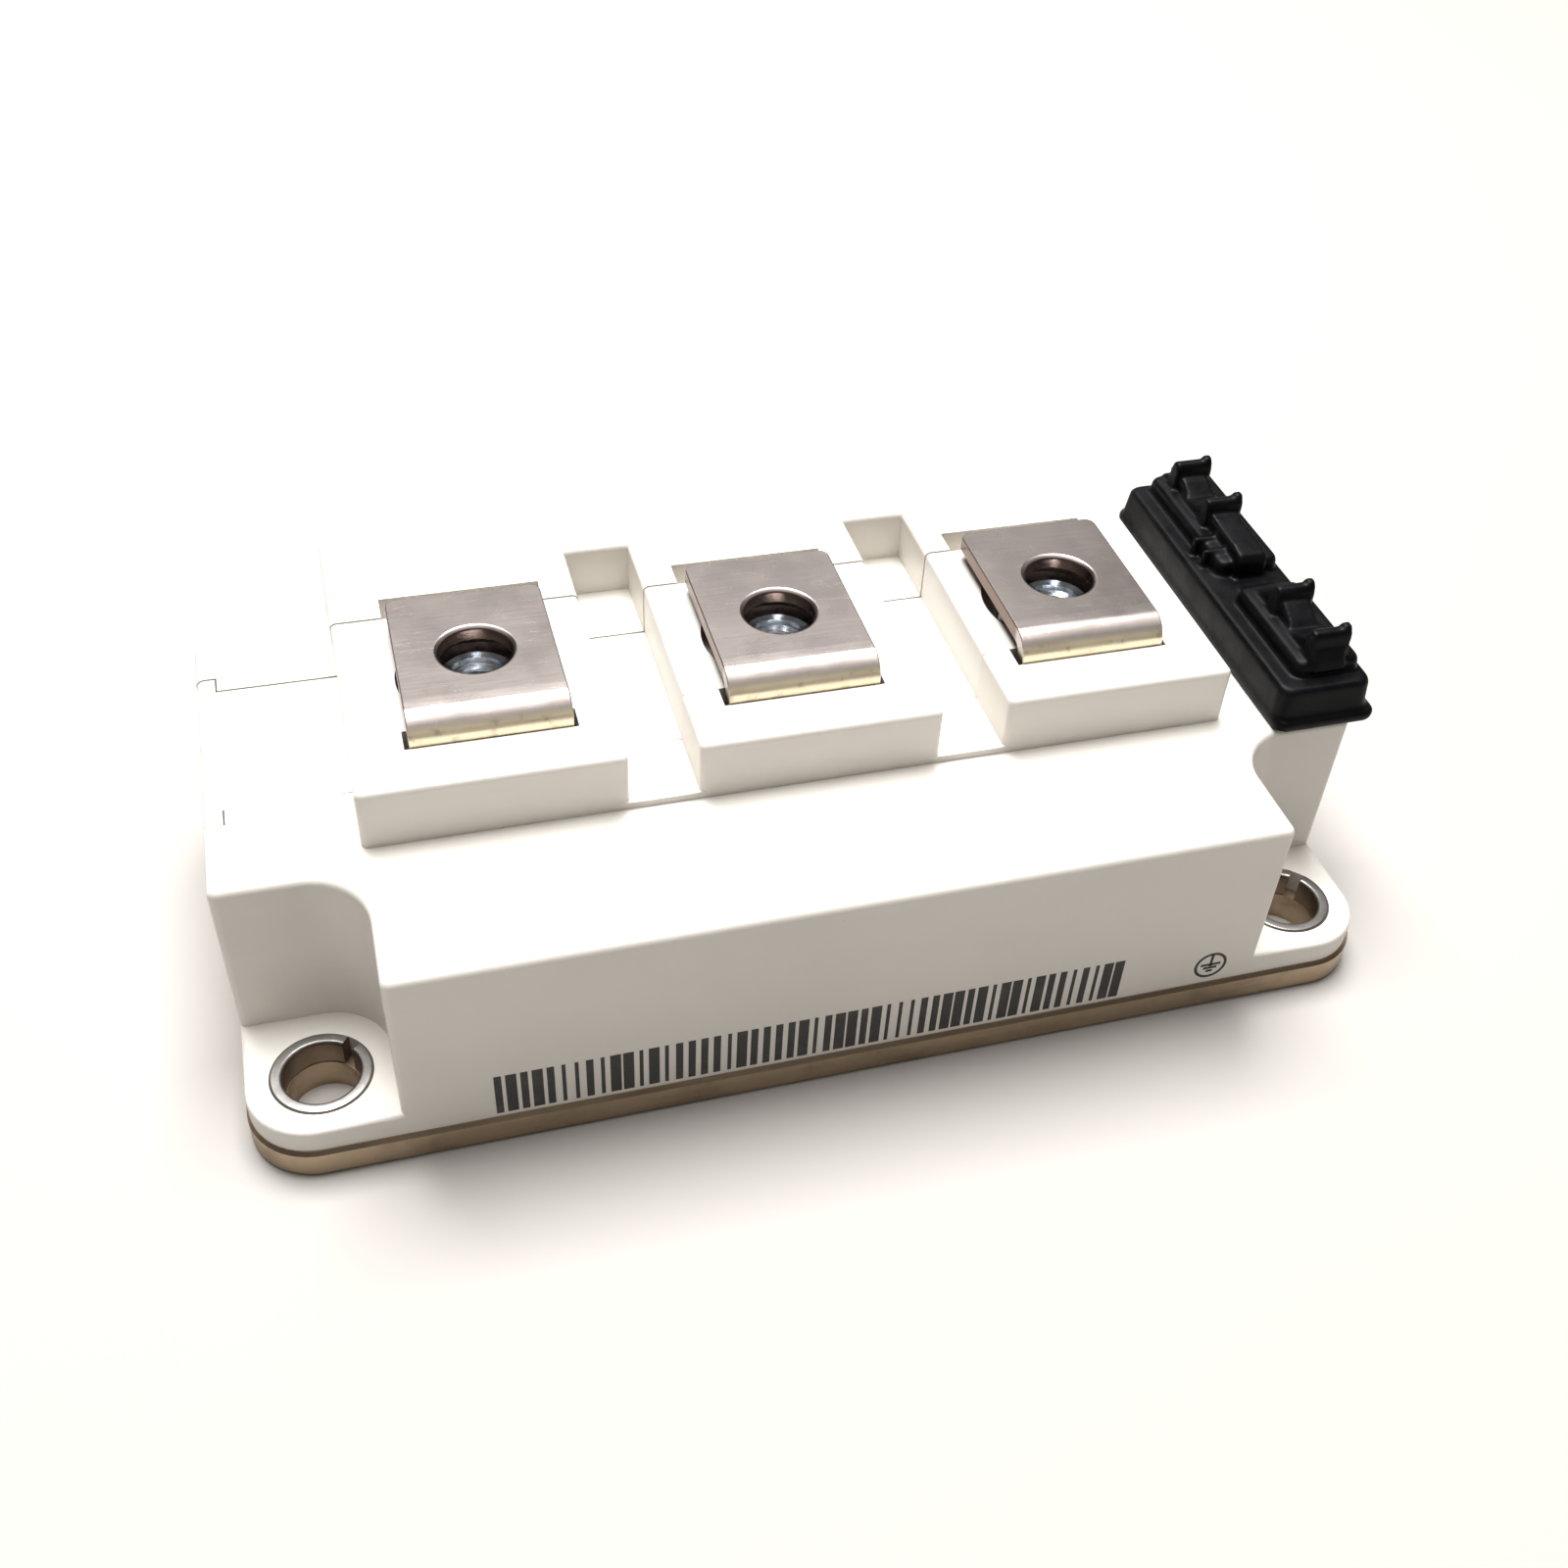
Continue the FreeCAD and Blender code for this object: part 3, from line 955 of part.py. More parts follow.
def build_all():
    """Every piece, from the base plate up; the gel comes last, because it fits around the others."""
    build_base_plate()
    build_housing()
    build_seal_bead()
    build_nut_carrier()
    for name, across, along in ear_places():
        build_sleeve(name, across, along)
    build_shorting_cap()
    for name, step in BLOCKS:
        build_nut(name, step)
    first_covered = len(pieces)
    for name, step in BLOCKS:
        build_terminal(name, step)
    for count, (row, target) in enumerate(LEADS, start=1):
        build_signal_tab(count, row)
        build_signal_lead(count, row, target)
    chips = 0
    for name, side in SIDES:
        build_substrate(name, side)
        for row in CHIP_ROWS:
            chips += 1
            build_chip(f"transistor_chip_{chips}", side, row, TRANSISTOR_INNER, "sizes.transistor_size")
            build_chip(f"diode_chip_{chips}", side, row, DIODE_INNER, "sizes.diode_size")
        build_bond_wires(name, side)
    build_phase_link()
    build_silicone_gel(pieces[first_covered:])


def check_document():
    """Stops before anything is written if a feature or a piece has failed."""
    doc.recompute()
    for feature in doc.Objects:
        if {"Invalid", "Error"} & set(feature.State):
            raise RuntimeError(f"{feature.Name} fails: {feature.State}")
    for piece in pieces:
        if piece.Shape.isNull() or not piece.Shape.isValid() or piece.Shape.Volume < PRECISION:
            raise RuntimeError(f"{piece.Label} has no valid shape")


def write_parts():
    """Writes each piece to its own STEP file."""
    os.makedirs("parts", exist_ok=True)
    for piece in pieces:
        piece.Shape.exportStep(f"parts/{piece.Label}.step")
        print(f"{piece.Label}: {len(piece.Shape.Solids)} solid(s), {piece.Shape.Volume:.1f} mm3")


fill_sheet()
build_all()
check_document()
write_parts()
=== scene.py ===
import math

import bmesh
import bpy
from bpy.props import FloatProperty, FloatVectorProperty, IntProperty, PointerProperty
from bpy.types import Operator, Panel, PropertyGroup
from mathutils import Euler, Matrix, Vector


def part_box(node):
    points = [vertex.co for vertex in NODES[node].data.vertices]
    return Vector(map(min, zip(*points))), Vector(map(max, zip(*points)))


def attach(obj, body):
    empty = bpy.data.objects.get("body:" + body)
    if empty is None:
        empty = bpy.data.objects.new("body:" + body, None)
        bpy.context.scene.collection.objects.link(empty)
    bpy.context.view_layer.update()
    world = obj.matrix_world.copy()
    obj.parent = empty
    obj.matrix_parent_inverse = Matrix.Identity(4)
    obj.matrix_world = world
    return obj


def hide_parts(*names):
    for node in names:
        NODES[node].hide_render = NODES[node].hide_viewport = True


bl_info = {
    "name": "Power Module Dressing",
    "version": (1, 0, 0),
    "blender": (4, 5, 0),
    "location": "3D View > Sidebar > Power Module",
    "description": "Gives a half-bridge power module its finishes, threads, cap and print",
    "category": "Object",
}

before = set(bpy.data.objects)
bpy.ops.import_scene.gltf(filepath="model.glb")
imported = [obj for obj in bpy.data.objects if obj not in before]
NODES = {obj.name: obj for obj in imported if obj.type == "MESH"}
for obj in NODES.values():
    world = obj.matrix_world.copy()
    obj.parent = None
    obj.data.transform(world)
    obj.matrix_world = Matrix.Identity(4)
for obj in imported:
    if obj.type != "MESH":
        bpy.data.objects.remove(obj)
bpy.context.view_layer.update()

MM = 0.001
PLACES = ("left", "middle", "right")
CORNERS = ("front_left", "front_right", "back_left", "back_right")

# Lamps, all aimed at the part: name, side in metres, power in watts, place
LAMPS = (("overhead", 0.7, 25.0, (0.0, 0.28, 1.05)),
         ("backdrop", 1.7, 5.0, (0.15, 1.7, 1.25)),
         ("front", 0.3, 1.6, (-0.1, -0.55, 1.1)))
SKY_COLOUR = (1.0, 0.93, 0.88, 1.0)
SKY_STRENGTH = 0.12
FLOOR_HALF = 4.0
VIEW_GAMMA = 0.9

# Copies of the frame's nodes: corners that are one, faces that are flat together, edges to round
MERGE_DISTANCE = 0.0005 * MM
FLAT_ANGLE = math.radians(0.5)
EDGE_ANGLE = math.radians(30.0)
SAME_WALL = 0.9  # cosine between faces that move inwards as one wall

NUT_STEPS = 72
NUT_CHAMFER = 0.35 * MM
# The thread's ridge: half its foot and half its crest as shares of the pitch, and how far its
# foot is sunk in the bore as a share of its depth
RIDGE_FOOT, RIDGE_CREST, RIDGE_SUNK = 0.47, 0.07, 0.25

SLEEVE_WALL = 1.1 * MM
SLEEVE_STEPS = 96
SLIT_ANGLE = math.radians(44.0)
BORE_RIM = 1.6  # rounding at the bore, as a share of the outer one

# Print on the front: the row of bars, whose widths are shares of their step, and the earth sign,
# whose line and bars of (height, half width, half height) are shares of its radius
BARS_LEFT, BARS_RIGHT = -32.7 * MM, 26.1 * MM
BARS_BOTTOM, BARS_TOP = 3.45 * MM, 8.35 * MM
NARROWEST_BAR, BAR_GRADE, WIDEST_GRADE = 0.3, 0.27, 2
EARTH_X, EARTH_Z, EARTH_RADIUS = 35.4 * MM, 5.35 * MM, 1.67 * MM
EARTH_LINE = 0.17
EARTH_BARS = ((0.42, EARTH_LINE / 2, 0.5), (0.06, 0.62, EARTH_LINE / 2),
              (-0.2, 0.42, EARTH_LINE / 2), (-0.46, 0.2, EARTH_LINE / 2))

# The soft cap in millimetres, heights from the deck. Its skirt and humps: how far each level
# stands in from the left, right, front and back, and its height
CAP_SKIRT = ((0.1, 0.1, 0.1, 0.1, 0.0), (0.0, 0.0, 0.0, 0.0, 0.3), (0.0, 0.0, 0.0, 0.0, 0.9),
             (0.1, 0.45, 0.45, 0.3, 1.15), (0.15, 0.8, 0.6, 0.5, 1.5),
             (0.3, 0.95, 0.8, 0.9, 3.95), (0.55, 1.2, 1.1, 1.3, 4.35))
CAP_HUMP = ((0.0, 0.0, 0.0, 0.0, 3.6), (0.0, 0.0, 0.0, 0.0, 5.2), (0.1, 0.1, 0.1, 0.1, 5.65),
            (0.35, 0.35, 0.35, 0.35, 5.9), (0.8, 0.8, 0.8, 0.8, 5.95))
# (behind the row, height) of the fin over a tab, its raised ends and what braces it
CAP_FIN = ((-0.75, 5.0), (-0.85, 5.9), (-0.65, 8.3), (-0.3, 8.75), (0.4, 8.75), (0.75, 8.3),
           (0.75, 5.0))
CAP_FIN_END = ((-0.6, 7.6), (-0.6, 8.4), (-0.2, 9.05), (0.5, 9.05), (0.8, 8.6), (0.75, 7.6))
CAP_RAMPS = (
    ((0.5, 5.0), (0.5, 8.0), (1.0, 7.2), (1.8, 6.4), (2.6, 5.9), (2.6, 5.0)),
    ((0.5, 5.0), (0.5, 8.3), (1.2, 7.8), (2.2, 7.1), (3.5, 6.5), (5.0, 6.1), (6.8, 5.8),
     (6.8, 5.0)),
    ((0.5, 4.0), (0.5, 8.3), (1.2, 7.8), (2.4, 6.8), (4.0, 5.5), (5.5, 4.7), (6.5, 4.3),
     (6.5, 4.0)),
    ((0.5, 5.0), (0.5, 8.2), (1.0, 7.6), (2.0, 6.9), (3.5, 6.2), (5.0, 5.8), (5.0, 5.0)))
CAP_BRACES = (
    ((-0.5, 5.0), (-3.6, 5.0), (-3.6, 5.9), (-3.0, 6.5), (-1.5, 7.3), (-0.5, 7.5)),
    ((-0.5, 4.0), (-8.1, 4.0), (-8.1, 6.2), (-7.6, 6.9), (-6.0, 7.2), (-3.0, 7.3),
     (-0.5, 7.5)),
    ((-0.5, 5.0), (-3.3, 5.0), (-3.2, 6.3), (-2.8, 6.6), (-1.2, 7.5), (-0.5, 7.7)),
    ((-0.5, 5.0), (-1.6, 5.0), (-1.3, 6.1), (-0.9, 7.0), (-0.5, 7.4)))
CAP_RIB = ((-0.4, 4.0), (-0.35, 6.1), (0.0, 6.3), (0.35, 6.1), (0.4, 4.0))
# Half the width of each along X, and its shift from the cap's middle
FIN_WIDTH, FIN_END_WIDTH, RAMP_WIDTH, BRACE_WIDTH, RIB_WIDTH = (
    (2.1, 0.2), (0.5, 1.9), (1.8, 0.2), (1.6, 0.2), (1.2, -2.7))
TAPER, TAPER_FROM = 0.05, 6.0
RIB_ROWS = (6.3, 4.0)
CAP_CORNER, HUMP_CORNER = 1.3, 0.9
CAP_FRONT, CAP_BACK = 0.7, -0.35  # the skirt's ends, from the ends of the CAD's cap
HUMP_SIDES = (-3.1, 3.7)
HUMP_ENDS = (((3, -1.3), (2, 4.6)), ((1, -7.4), (0, 2.5)))  # (row, behind it) of front and back
# The rooms under the cap: its wall, middle height and height over the plinth, and for a tab
CAP_WALL = 1.6
PLINTH_ROOM = (1.2, 4.4)
TAB_ROOM_MIDDLE, TAB_ROOM = 4.0, (3.0, 0.7, 8.0)

# Metals inside: finish, slot, colour, lowest and highest roughness, first words of their nodes
INSIDE_METALS = (
    ("copper_tracks", "copper", (0.72, 0.36, 0.22), 0.25, 0.4,
     ("substrate_tracks", "substrate_backing", "phase_link")),
    ("solder_layer", "solder", (0.55, 0.55, 0.56), 0.3, 0.45, ("substrate_solder",)),
    ("bond_aluminium", "bond_wire", (0.78, 0.78, 0.79), 0.25, 0.35, ("bond_wires",)),
    ("lead_copper", "copper_wire", (0.70, 0.38, 0.25), 0.3, 0.45, ("signal_lead",)))


# Sizes and colours that a user may change

def length_setting(name, description, default, low=0.0, precision=5):
    """A length to set, given in millimetres"""
    return FloatProperty(
        name=name, description=description, default=default * MM, min=low * MM,
        unit="LENGTH", precision=precision)


def colour_setting(name, description, default):
    """A colour to set"""
    return FloatVectorProperty(
        name=name, description=description, subtype="COLOR", size=3, min=0.0, max=1.0,
        default=default)


class ModuleSizes(PropertyGroup):
    """Sizes of the pieces that are made here"""

    thread_pitch: length_setting(
        "Thread Pitch", "Rise of the nuts' thread in one turn", 1.0, 0.3)
    thread_diameter: length_setting(
        "Thread Diameter", "Nominal diameter of the nuts' thread", 6.0, 2.0)
    thread_crest: length_setting(
        "Thread Crest", "Free diameter inside the nuts' thread", 5.05, 1.0)
    nut_bevel: length_setting(
        "Nut Bevel", "Rounding of the corners of a nut", 0.35)
    sleeve_rim: length_setting(
        "Sleeve Rim", "Rounding of the upper rims of a sleeve", 0.2)
    sleeve_slit: length_setting(
        "Sleeve Slit", "Gap where the rolled sleeve closes", 1.5, 0.1)
    carrier_slack: length_setting(
        "Carrier Slack", "How far the carrier's faces stand back, for its seams", 0.07)
    plate_edge: length_setting(
        "Plate Edge", "Rounding of the stamped edges of a terminal", 0.14)
    ink_thickness: length_setting(
        "Ink Thickness", "Print above the plastic", 0.02, 0.005, precision=6)
    bar_count: IntProperty(
        name="Bars", description="Bars printed on the front", default=52, min=1)
    bar_seed: IntProperty(
        name="Bar Seed", description="Seed for the widths of the printed bars", default=7)
    cap_grain: length_setting(
        "Cap Grain", "Cell of the mesh that the soft cap is fused to", 0.2, 0.1)


class ModuleColours(PropertyGroup):
    """Colours of the module's finishes"""

    housing: colour_setting(
        "Housing", "White moulded plastic", (0.80, 0.768, 0.715))
    carrier: colour_setting(
        "Carrier", "Plastic of the nut carrier", (0.81, 0.785, 0.74))
    base_plate: colour_setting(
        "Base Plate", "Nickel plating of the base plate", (0.42, 0.33, 0.235))
    terminal: colour_setting(
        "Terminal", "Plated screw terminals", (0.44, 0.393, 0.37))
    # Painted reflection: a bright yellowish colour on a terminal's front faces below its bend,
    # standing in for reflected light
    terminal_bend_reflection: colour_setting(
        "Terminal Bend", "Straw tint on the bend of a terminal", (0.88, 0.79, 0.60))
    terminal_cut: colour_setting(
        "Terminal Cut", "Bare copper where a terminal was punched", (0.17, 0.105, 0.08))
    zinc: colour_setting(
        "Zinc", "Blue zinc plating of the nuts", (0.70, 0.76, 0.84))
    sleeve: colour_setting(
        "Sleeve", "Bright steel of the mounting sleeves", (0.33, 0.32, 0.305))
    # Painted shade: the dark brown on a sleeve's upright walls stands in for the shade in its
    # bore
    sleeve_bore_shade: colour_setting(
        "Sleeve Bore", "Brown tint on the upright walls of a sleeve", (0.25, 0.185, 0.13))
    cap: colour_setting(
        "Shorting Cap", "Black rubber of the shorting cap", (0.004, 0.004, 0.005))
    ink: colour_setting(
        "Ink", "Dark print on the front", (0.048, 0.045, 0.043))
    floor: colour_setting(
        "Floor", "Pale studio floor", (0.51, 0.488, 0.463))


# Shader nodes

class Value:
    """A number's socket in a finish, for sums written as Python expressions"""

    def __init__(self, finish, socket):
        self.finish = finish
        self.socket = socket

    def math(self, operation, first, second):
        sum_node = self.finish.node(
            "ShaderNodeMath", {"operation": operation}, {0: first, 1: second})
        return Value(self.finish, sum_node.outputs[0])

    def __add__(self, other):
        return self.math("ADD", self, other)

    def __radd__(self, other):
        return self.math("ADD", other, self)

    def __sub__(self, other):
        return self.math("SUBTRACT", self, other)

    def __rsub__(self, other):
        return self.math("SUBTRACT", other, self)

    def __mul__(self, other):
        return self.math("MULTIPLY", self, other)

    def __rmul__(self, other):
        return self.math("MULTIPLY", other, self)


def feed(tree, socket, value):
    """Links a socket, or sets it to a plain value"""
    if isinstance(value, Value):
        value = value.socket
    if isinstance(value, bpy.types.NodeSocket):
        tree.links.new(value, socket)
    elif isinstance(value, tuple) and socket.type == "RGBA":
        socket.default_value = (*value[:3], 1.0)
    else:
        socket.default_value = value


def add_node(tree, kind, settings, inputs):
    """Adds a node: its settings first, then the values or links of its sockets"""
    made = tree.nodes.new(kind)
    for name, value in dict(settings).items():
        setattr(made, name, value)
    for key, value in dict(inputs).items():
        feed(tree, made.inputs[key], value)
    return made


class Finish:
    """A procedural material that keeps a slot name, made from Object coordinates"""

    def __init__(self, name, slot, **constants):
        self.slot = slot
        self.material = bpy.data.materials.new(name)
        self.material.use_nodes = True
        self.tree = self.material.node_tree
        self.surface = self.tree.nodes["Principled BSDF"]
        for socket, value in constants.items():
            self.surface.inputs[socket.replace("_", " ")].default_value = value
        self.place = self.node("ShaderNodeTexCoord").outputs["Object"]

    def node(self, kind, settings=(), inputs=()):
        """A node with its settings, and the values or links of its sockets"""
        return add_node(self.tree, kind, settings, inputs)

    def mapped(self, scale=(1.0, 1.0, 1.0), rotation=(0.0, 0.0, 0.0)):
        """Object coordinates, turned and stretched"""
        return self.node("ShaderNodeMapping", {}, {
            "Vector": self.place, "Rotation": rotation, "Scale": scale}).outputs[0]

    def noise(self, size, detail=3.0, roughness=0.5, vector=None):
        """Cloudy value with features of one size in metres"""
        made = self.node("ShaderNodeTexNoise", {}, {
            "Vector": self.place if vector is None else vector,
            "Scale": 1.0 / size, "Detail": detail, "Roughness": roughness})
        return Value(self, made.outputs[0])

    def cells(self, size, feature="F1", vector=None):
        """Distance to scattered points, or to the edges of their cells, about one size apart"""
        made = self.node("ShaderNodeTexVoronoi", {"feature": feature}, {
            "Vector": self.place if vector is None else vector, "Scale": 1.0 / size})
        return Value(self, made.outputs["Distance"])

    def axis(self, name):
        """One coordinate of the object, in metres"""
        return Value(self, self.node("ShaderNodeSeparateXYZ", {}, {0: self.place}).outputs[name])

    def side(self, name):
        """One component of the surface's direction"""
        facing = self.node("ShaderNodeNewGeometry").outputs["Normal"]
        return Value(self, self.node("ShaderNodeSeparateXYZ", {}, {0: facing}).outputs[name])

    def span(self, value, low, high, start=0.0, end=1.0):
        """A value stretched from low and high to start and end, and held there"""
        made = self.node("ShaderNodeMapRange", {"interpolation_type": "SMOOTHSTEP"}, {
            "Value": value, "From Min": low, "From Max": high, "To Min": start, "To Max": end})
        return Value(self, made.outputs[0])

    def blend(self, share, first, second):
        """Two colours mixed by a share"""
        return self.node("ShaderNodeMix", {"data_type": "RGBA"},
                         {0: share, 6: first, 7: second}).outputs[2]

    def bump(self, height, depth, below=None):
        """A relief of one depth in metres, over another relief"""
        inputs = {"Strength": 1.0, "Distance": depth, "Height": height}
        if below is not None:
            inputs["Normal"] = below
        return self.node("ShaderNodeBump", {}, inputs).outputs[0]

    def wear(self, colour, roughness=None, normal=None):
        """Sends what changes over the surface to the surface's own sockets"""
        for socket, value in (("Base Color", colour), ("Roughness", roughness),
                              ("Normal", normal)):
            if value is not None:
                feed(self.tree, self.surface.inputs[socket], value)


def shade(colour, factor):
    """A colour made darker or lighter"""
    return tuple(min(1.0, part * factor) for part in colour)


def moulded_plastic(name, slot, colour, gloss=0.42):
    """Spark-eroded white plastic with faint flow marks and a few dark specks"""
    f = Finish(name, slot, IOR=1.5)
    cloud = f.noise(24 * MM, 3.0)
    flow = f.noise(6 * MM, 2.0, vector=f.mapped(scale=(0.25, 1.0, 1.0)))
    grain = f.noise(0.16 * MM, 2.0)
    speck = f.span(f.cells(3.1 * MM), 0.035, 0.012) * f.span(f.noise(9 * MM), 0.56, 0.62)
    tint = f.blend(f.span(cloud, 0.35, 0.7), shade(colour, 0.965), shade(colour, 1.02))
    tint = f.blend(f.span(flow, 0.4, 0.75) * 0.35, tint, shade(colour, 1.05))
    tint = f.blend(speck * 0.55, tint, shade(colour, 0.33))
    relief = f.bump(grain, 0.012 * MM)
    relief = f.bump(flow, 0.03 * MM, below=relief)
    f.wear(tint, f.span(cloud, 0.3, 0.7, gloss - 0.05, gloss + 0.07), relief)
    return f


def nickel_plating(colours):
    """Dull nickel with rolling lines, stains and a rubbed edge"""
    base = tuple(colours.base_plate)
    f = Finish("nickel_plating", "nickel_plate", Metallic=1.0, IOR=1.8)
    lines = f.noise(0.9 * MM, 4.0, vector=f.mapped(scale=(0.05, 1.0, 1.0)))
    sheared = f.noise(0.5 * MM, 3.0, vector=f.mapped(scale=(1.0, 1.0, 0.12)))
    stain = f.noise(7 * MM, 5.0, 0.6)
    tint = f.blend(f.span(stain, 0.4, 0.68), shade(base, 1.08), shade(base, 0.8))
    tint = f.blend(f.span(lines, 0.45, 0.7) * 0.4, tint, shade(base, 1.3))
    edge = f.span(f.axis("Z"), 0.35 * MM, 0.0) * f.span(f.noise(2.2 * MM, 4.0), 0.42, 0.6)
    tint = f.blend(edge * 0.6, tint, shade(base, 1.45))
    relief = f.bump(lines, 0.02 * MM)
    relief = f.bump(sheared, 0.02 * MM, below=relief)
    f.wear(tint, f.span(stain, 0.35, 0.7, 0.32, 0.5), relief)
    return f


def terminal_plating(colours, contact_height):
    """Plated copper strip: fine scratches, spots, and a painted yellowish reflection below the
    front bend
    """
    base = tuple(colours.terminal)
    reflected_straw = tuple(colours.terminal_bend_reflection)
    f = Finish("terminal_plating", "terminal_metal", Metallic=1.0, IOR=1.9)
    cloud = f.noise(5 * MM, 4.0, 0.6)
    drawn = f.noise(0.35 * MM, 3.0, vector=f.mapped(scale=(0.06, 1.0, 1.0)))
    hair = f.cells(1.7 * MM, "DISTANCE_TO_EDGE",
                   vector=f.mapped(scale=(0.32, 1.5, 1.0), rotation=(0.0, 0.0, 0.5)))
    hair_cross = f.cells(2.6 * MM, "DISTANCE_TO_EDGE",
                         vector=f.mapped(scale=(1.4, 0.3, 1.0), rotation=(0.0, 0.0, -0.9)))
    broken = f.span(f.noise(2.4 * MM, 3.0), 0.5, 0.62)
    scratch = f.span(hair, 0.012, 0.003) * broken + f.span(hair_cross, 0.01, 0.002) * broken
    spot = f.span(f.cells(1.5 * MM), 0.09, 0.04) * f.span(f.noise(3.2 * MM), 0.56, 0.64)
    tint = f.blend(f.span(cloud, 0.35, 0.68), shade(base, 1.06), shade(base, 0.87))
    tint = f.blend(f.span(drawn, 0.4, 0.75) * 0.25, tint, shade(base, 1.18))
    tint = f.blend(spot * 0.75, tint, shade(base, 0.42))
    tint = f.blend(scratch * 0.5, tint, shade(base, 1.3))
    # Painted reflection: front-facing faces below the contact height get a bright yellowish
    # colour for the light they reflect, with darker smudges in it
    below = f.span(f.axis("Z"), contact_height - 0.6 * MM, contact_height - 1.2 * MM)
    facing_front = f.span(f.side("Y"), -0.4, -0.75)
    painted_reflection = below * facing_front
    tint = f.blend(painted_reflection * 0.9, tint, reflected_straw)
    smear = f.span(f.noise(1.3 * MM, 4.0), 0.55, 0.68) * painted_reflection
    tint = f.blend(smear * 0.6, tint, shade(reflected_straw, 0.55))
    punched = f.span(f.side("Z"), 0.65, 0.35) * f.span(f.axis("Y"), -7.4 * MM, -6.8 * MM)
    tint = f.blend(punched * 0.9, tint, tuple(colours.terminal_cut))
    relief = f.bump(drawn, 0.008 * MM)
    relief = f.bump(f.noise(4 * MM, 2.0), 0.02 * MM, below=relief)
    relief = f.bump(1.0 - scratch, 0.0015 * MM, below=relief)
    sag = f.span(f.axis("Y"), -8.4 * MM, -5.8 * MM)  # the face falls a little before its bend
    relief = f.bump(sag, 0.07 * MM, below=relief)
    bent = f.span(f.side("Y"), -0.03, -0.55) * f.span(f.side("Y"), -0.97, -0.88)
    f.wear(tint, f.span(cloud, 0.3, 0.7, 0.24, 0.32) + spot * 0.2 + bent * 0.3, relief)
    return f


def zinc_plating(colours):
    """Bright blue zinc with fine turning marks"""
    base = tuple(colours.zinc)
    f = Finish("zinc_plating", "zinc_steel", Metallic=1.0, IOR=2.0)
    cloud = f.noise(1.1 * MM, 4.0)
    turned = f.noise(0.22 * MM, 2.0, vector=f.mapped(scale=(0.3, 0.3, 2.0)))
    tint = f.blend(f.span(cloud, 0.35, 0.68), shade(base, 1.12), shade(base, 0.7))
    f.wear(tint, f.span(turned, 0.3, 0.7, 0.14, 0.24), f.bump(turned, 0.003 * MM))
    return f


def rolled_steel(colours):
    """Bright steel sheet, rolled into a sleeve, with lines along the bore and painted brown
    shade on its upright walls
    """
    base = tuple(colours.sleeve)
    f = Finish("rolled_steel", "sleeve_steel", Metallic=1.0, IOR=1.9)
    upright = f.noise(0.5 * MM, 3.0, vector=f.mapped(scale=(1.0, 1.0, 0.12)))
    cloud = f.noise(3 * MM, 3.0)
    tint = f.blend(f.span(cloud, 0.35, 0.7), shade(base, 1.1), shade(base, 0.72))
    tint = f.blend(f.span(upright, 0.5, 0.75) * 0.3, tint, shade(base, 1.3))
    # Painted shade: upright walls, the bore among them, turn dark brown
    wall = f.span(f.side("Z"), 0.7, 0.3)
    tint = f.blend(wall * 0.85, tint, tuple(colours.sleeve_bore_shade))
    f.wear(tint, f.span(cloud, 0.3, 0.7, 0.32, 0.44), f.bump(upright, 0.01 * MM))
    return f


def tab_plating():
    """Thin tinned brass of the signal tabs"""
    base = (0.68, 0.66, 0.62)
    f = Finish("tab_plating", "tab_metal", Metallic=1.0)
    drawn = f.noise(0.4 * MM, 3.0, vector=f.mapped(scale=(1.0, 1.0, 0.1)))
    tint = f.blend(f.span(drawn, 0.35, 0.7), shade(base, 0.85), shade(base, 1.1))
    f.wear(tint, f.span(drawn, 0.3, 0.7, 0.25, 0.38), f.bump(drawn, 0.01 * MM))
    return f


def black_rubber(colours):
    """Black moulded rubber with a satin skin and dust"""
    base = tuple(colours.cap)
    f = Finish("black_rubber", "black_plastic", IOR=1.5, Specular_IOR_Level=0.16)
    skin = f.noise(0.22 * MM, 2.0)
    cloud = f.noise(3.5 * MM, 4.0, 0.55)
    dust = f.span(f.noise(0.9 * MM, 5.0, 0.65), 0.6, 0.74)
    tint = f.blend(f.span(cloud, 0.35, 0.7), shade(base, 0.8), shade(base, 1.5))
    tint = f.blend(dust * 0.2, tint, shade(base, 5.0))
    relief = f.bump(skin, 0.012 * MM)
    relief = f.bump(cloud, 0.06 * MM, below=relief)
    f.wear(tint, f.span(cloud, 0.3, 0.7, 0.34, 0.52), relief)
    return f


def printed_ink(colours):
    """Dark pad print, thin and broken where the plastic's grain shows"""
    base = tuple(colours.ink)
    f = Finish("printed_ink", "white_plastic")
    grain = f.noise(0.18 * MM, 3.0)
    patch = f.noise(2.5 * MM, 3.0)
    tint = f.blend(f.span(grain, 0.55, 0.78) * 0.5, base, shade(base, 3.2))
    tint = f.blend(f.span(patch, 0.5, 0.72) * 0.5, tint, shade(base, 2.0))
    f.wear(tint, f.span(grain, 0.3, 0.7, 0.45, 0.62), f.bump(grain, 0.006 * MM))
    return f


def plain_metal(name, slot, base, low, high):
    """A metal of the module's inside, cloudy and finely drawn"""
    f = Finish(name, slot, Metallic=1.0)
    cloud = f.noise(2.5 * MM, 4.0)
    fine = f.noise(0.3 * MM, 3.0)
    tint = f.blend(f.span(cloud, 0.35, 0.7), shade(base, 0.8), shade(base, 1.1))
    f.wear(tint, f.span(cloud, 0.3, 0.7, low, high), f.bump(fine, 0.01 * MM))
    return f


def fired_ceramic():
    """White alumina with a fine grain"""
    f = Finish("fired_ceramic", "white_ceramic")
    grain = f.noise(0.25 * MM, 3.0)
    tint = f.blend(f.span(grain, 0.35, 0.7), (0.78, 0.77, 0.74), (0.86, 0.85, 0.83))
    f.wear(tint, f.span(grain, 0.3, 0.7, 0.5, 0.65), f.bump(grain, 0.01 * MM))
    return f


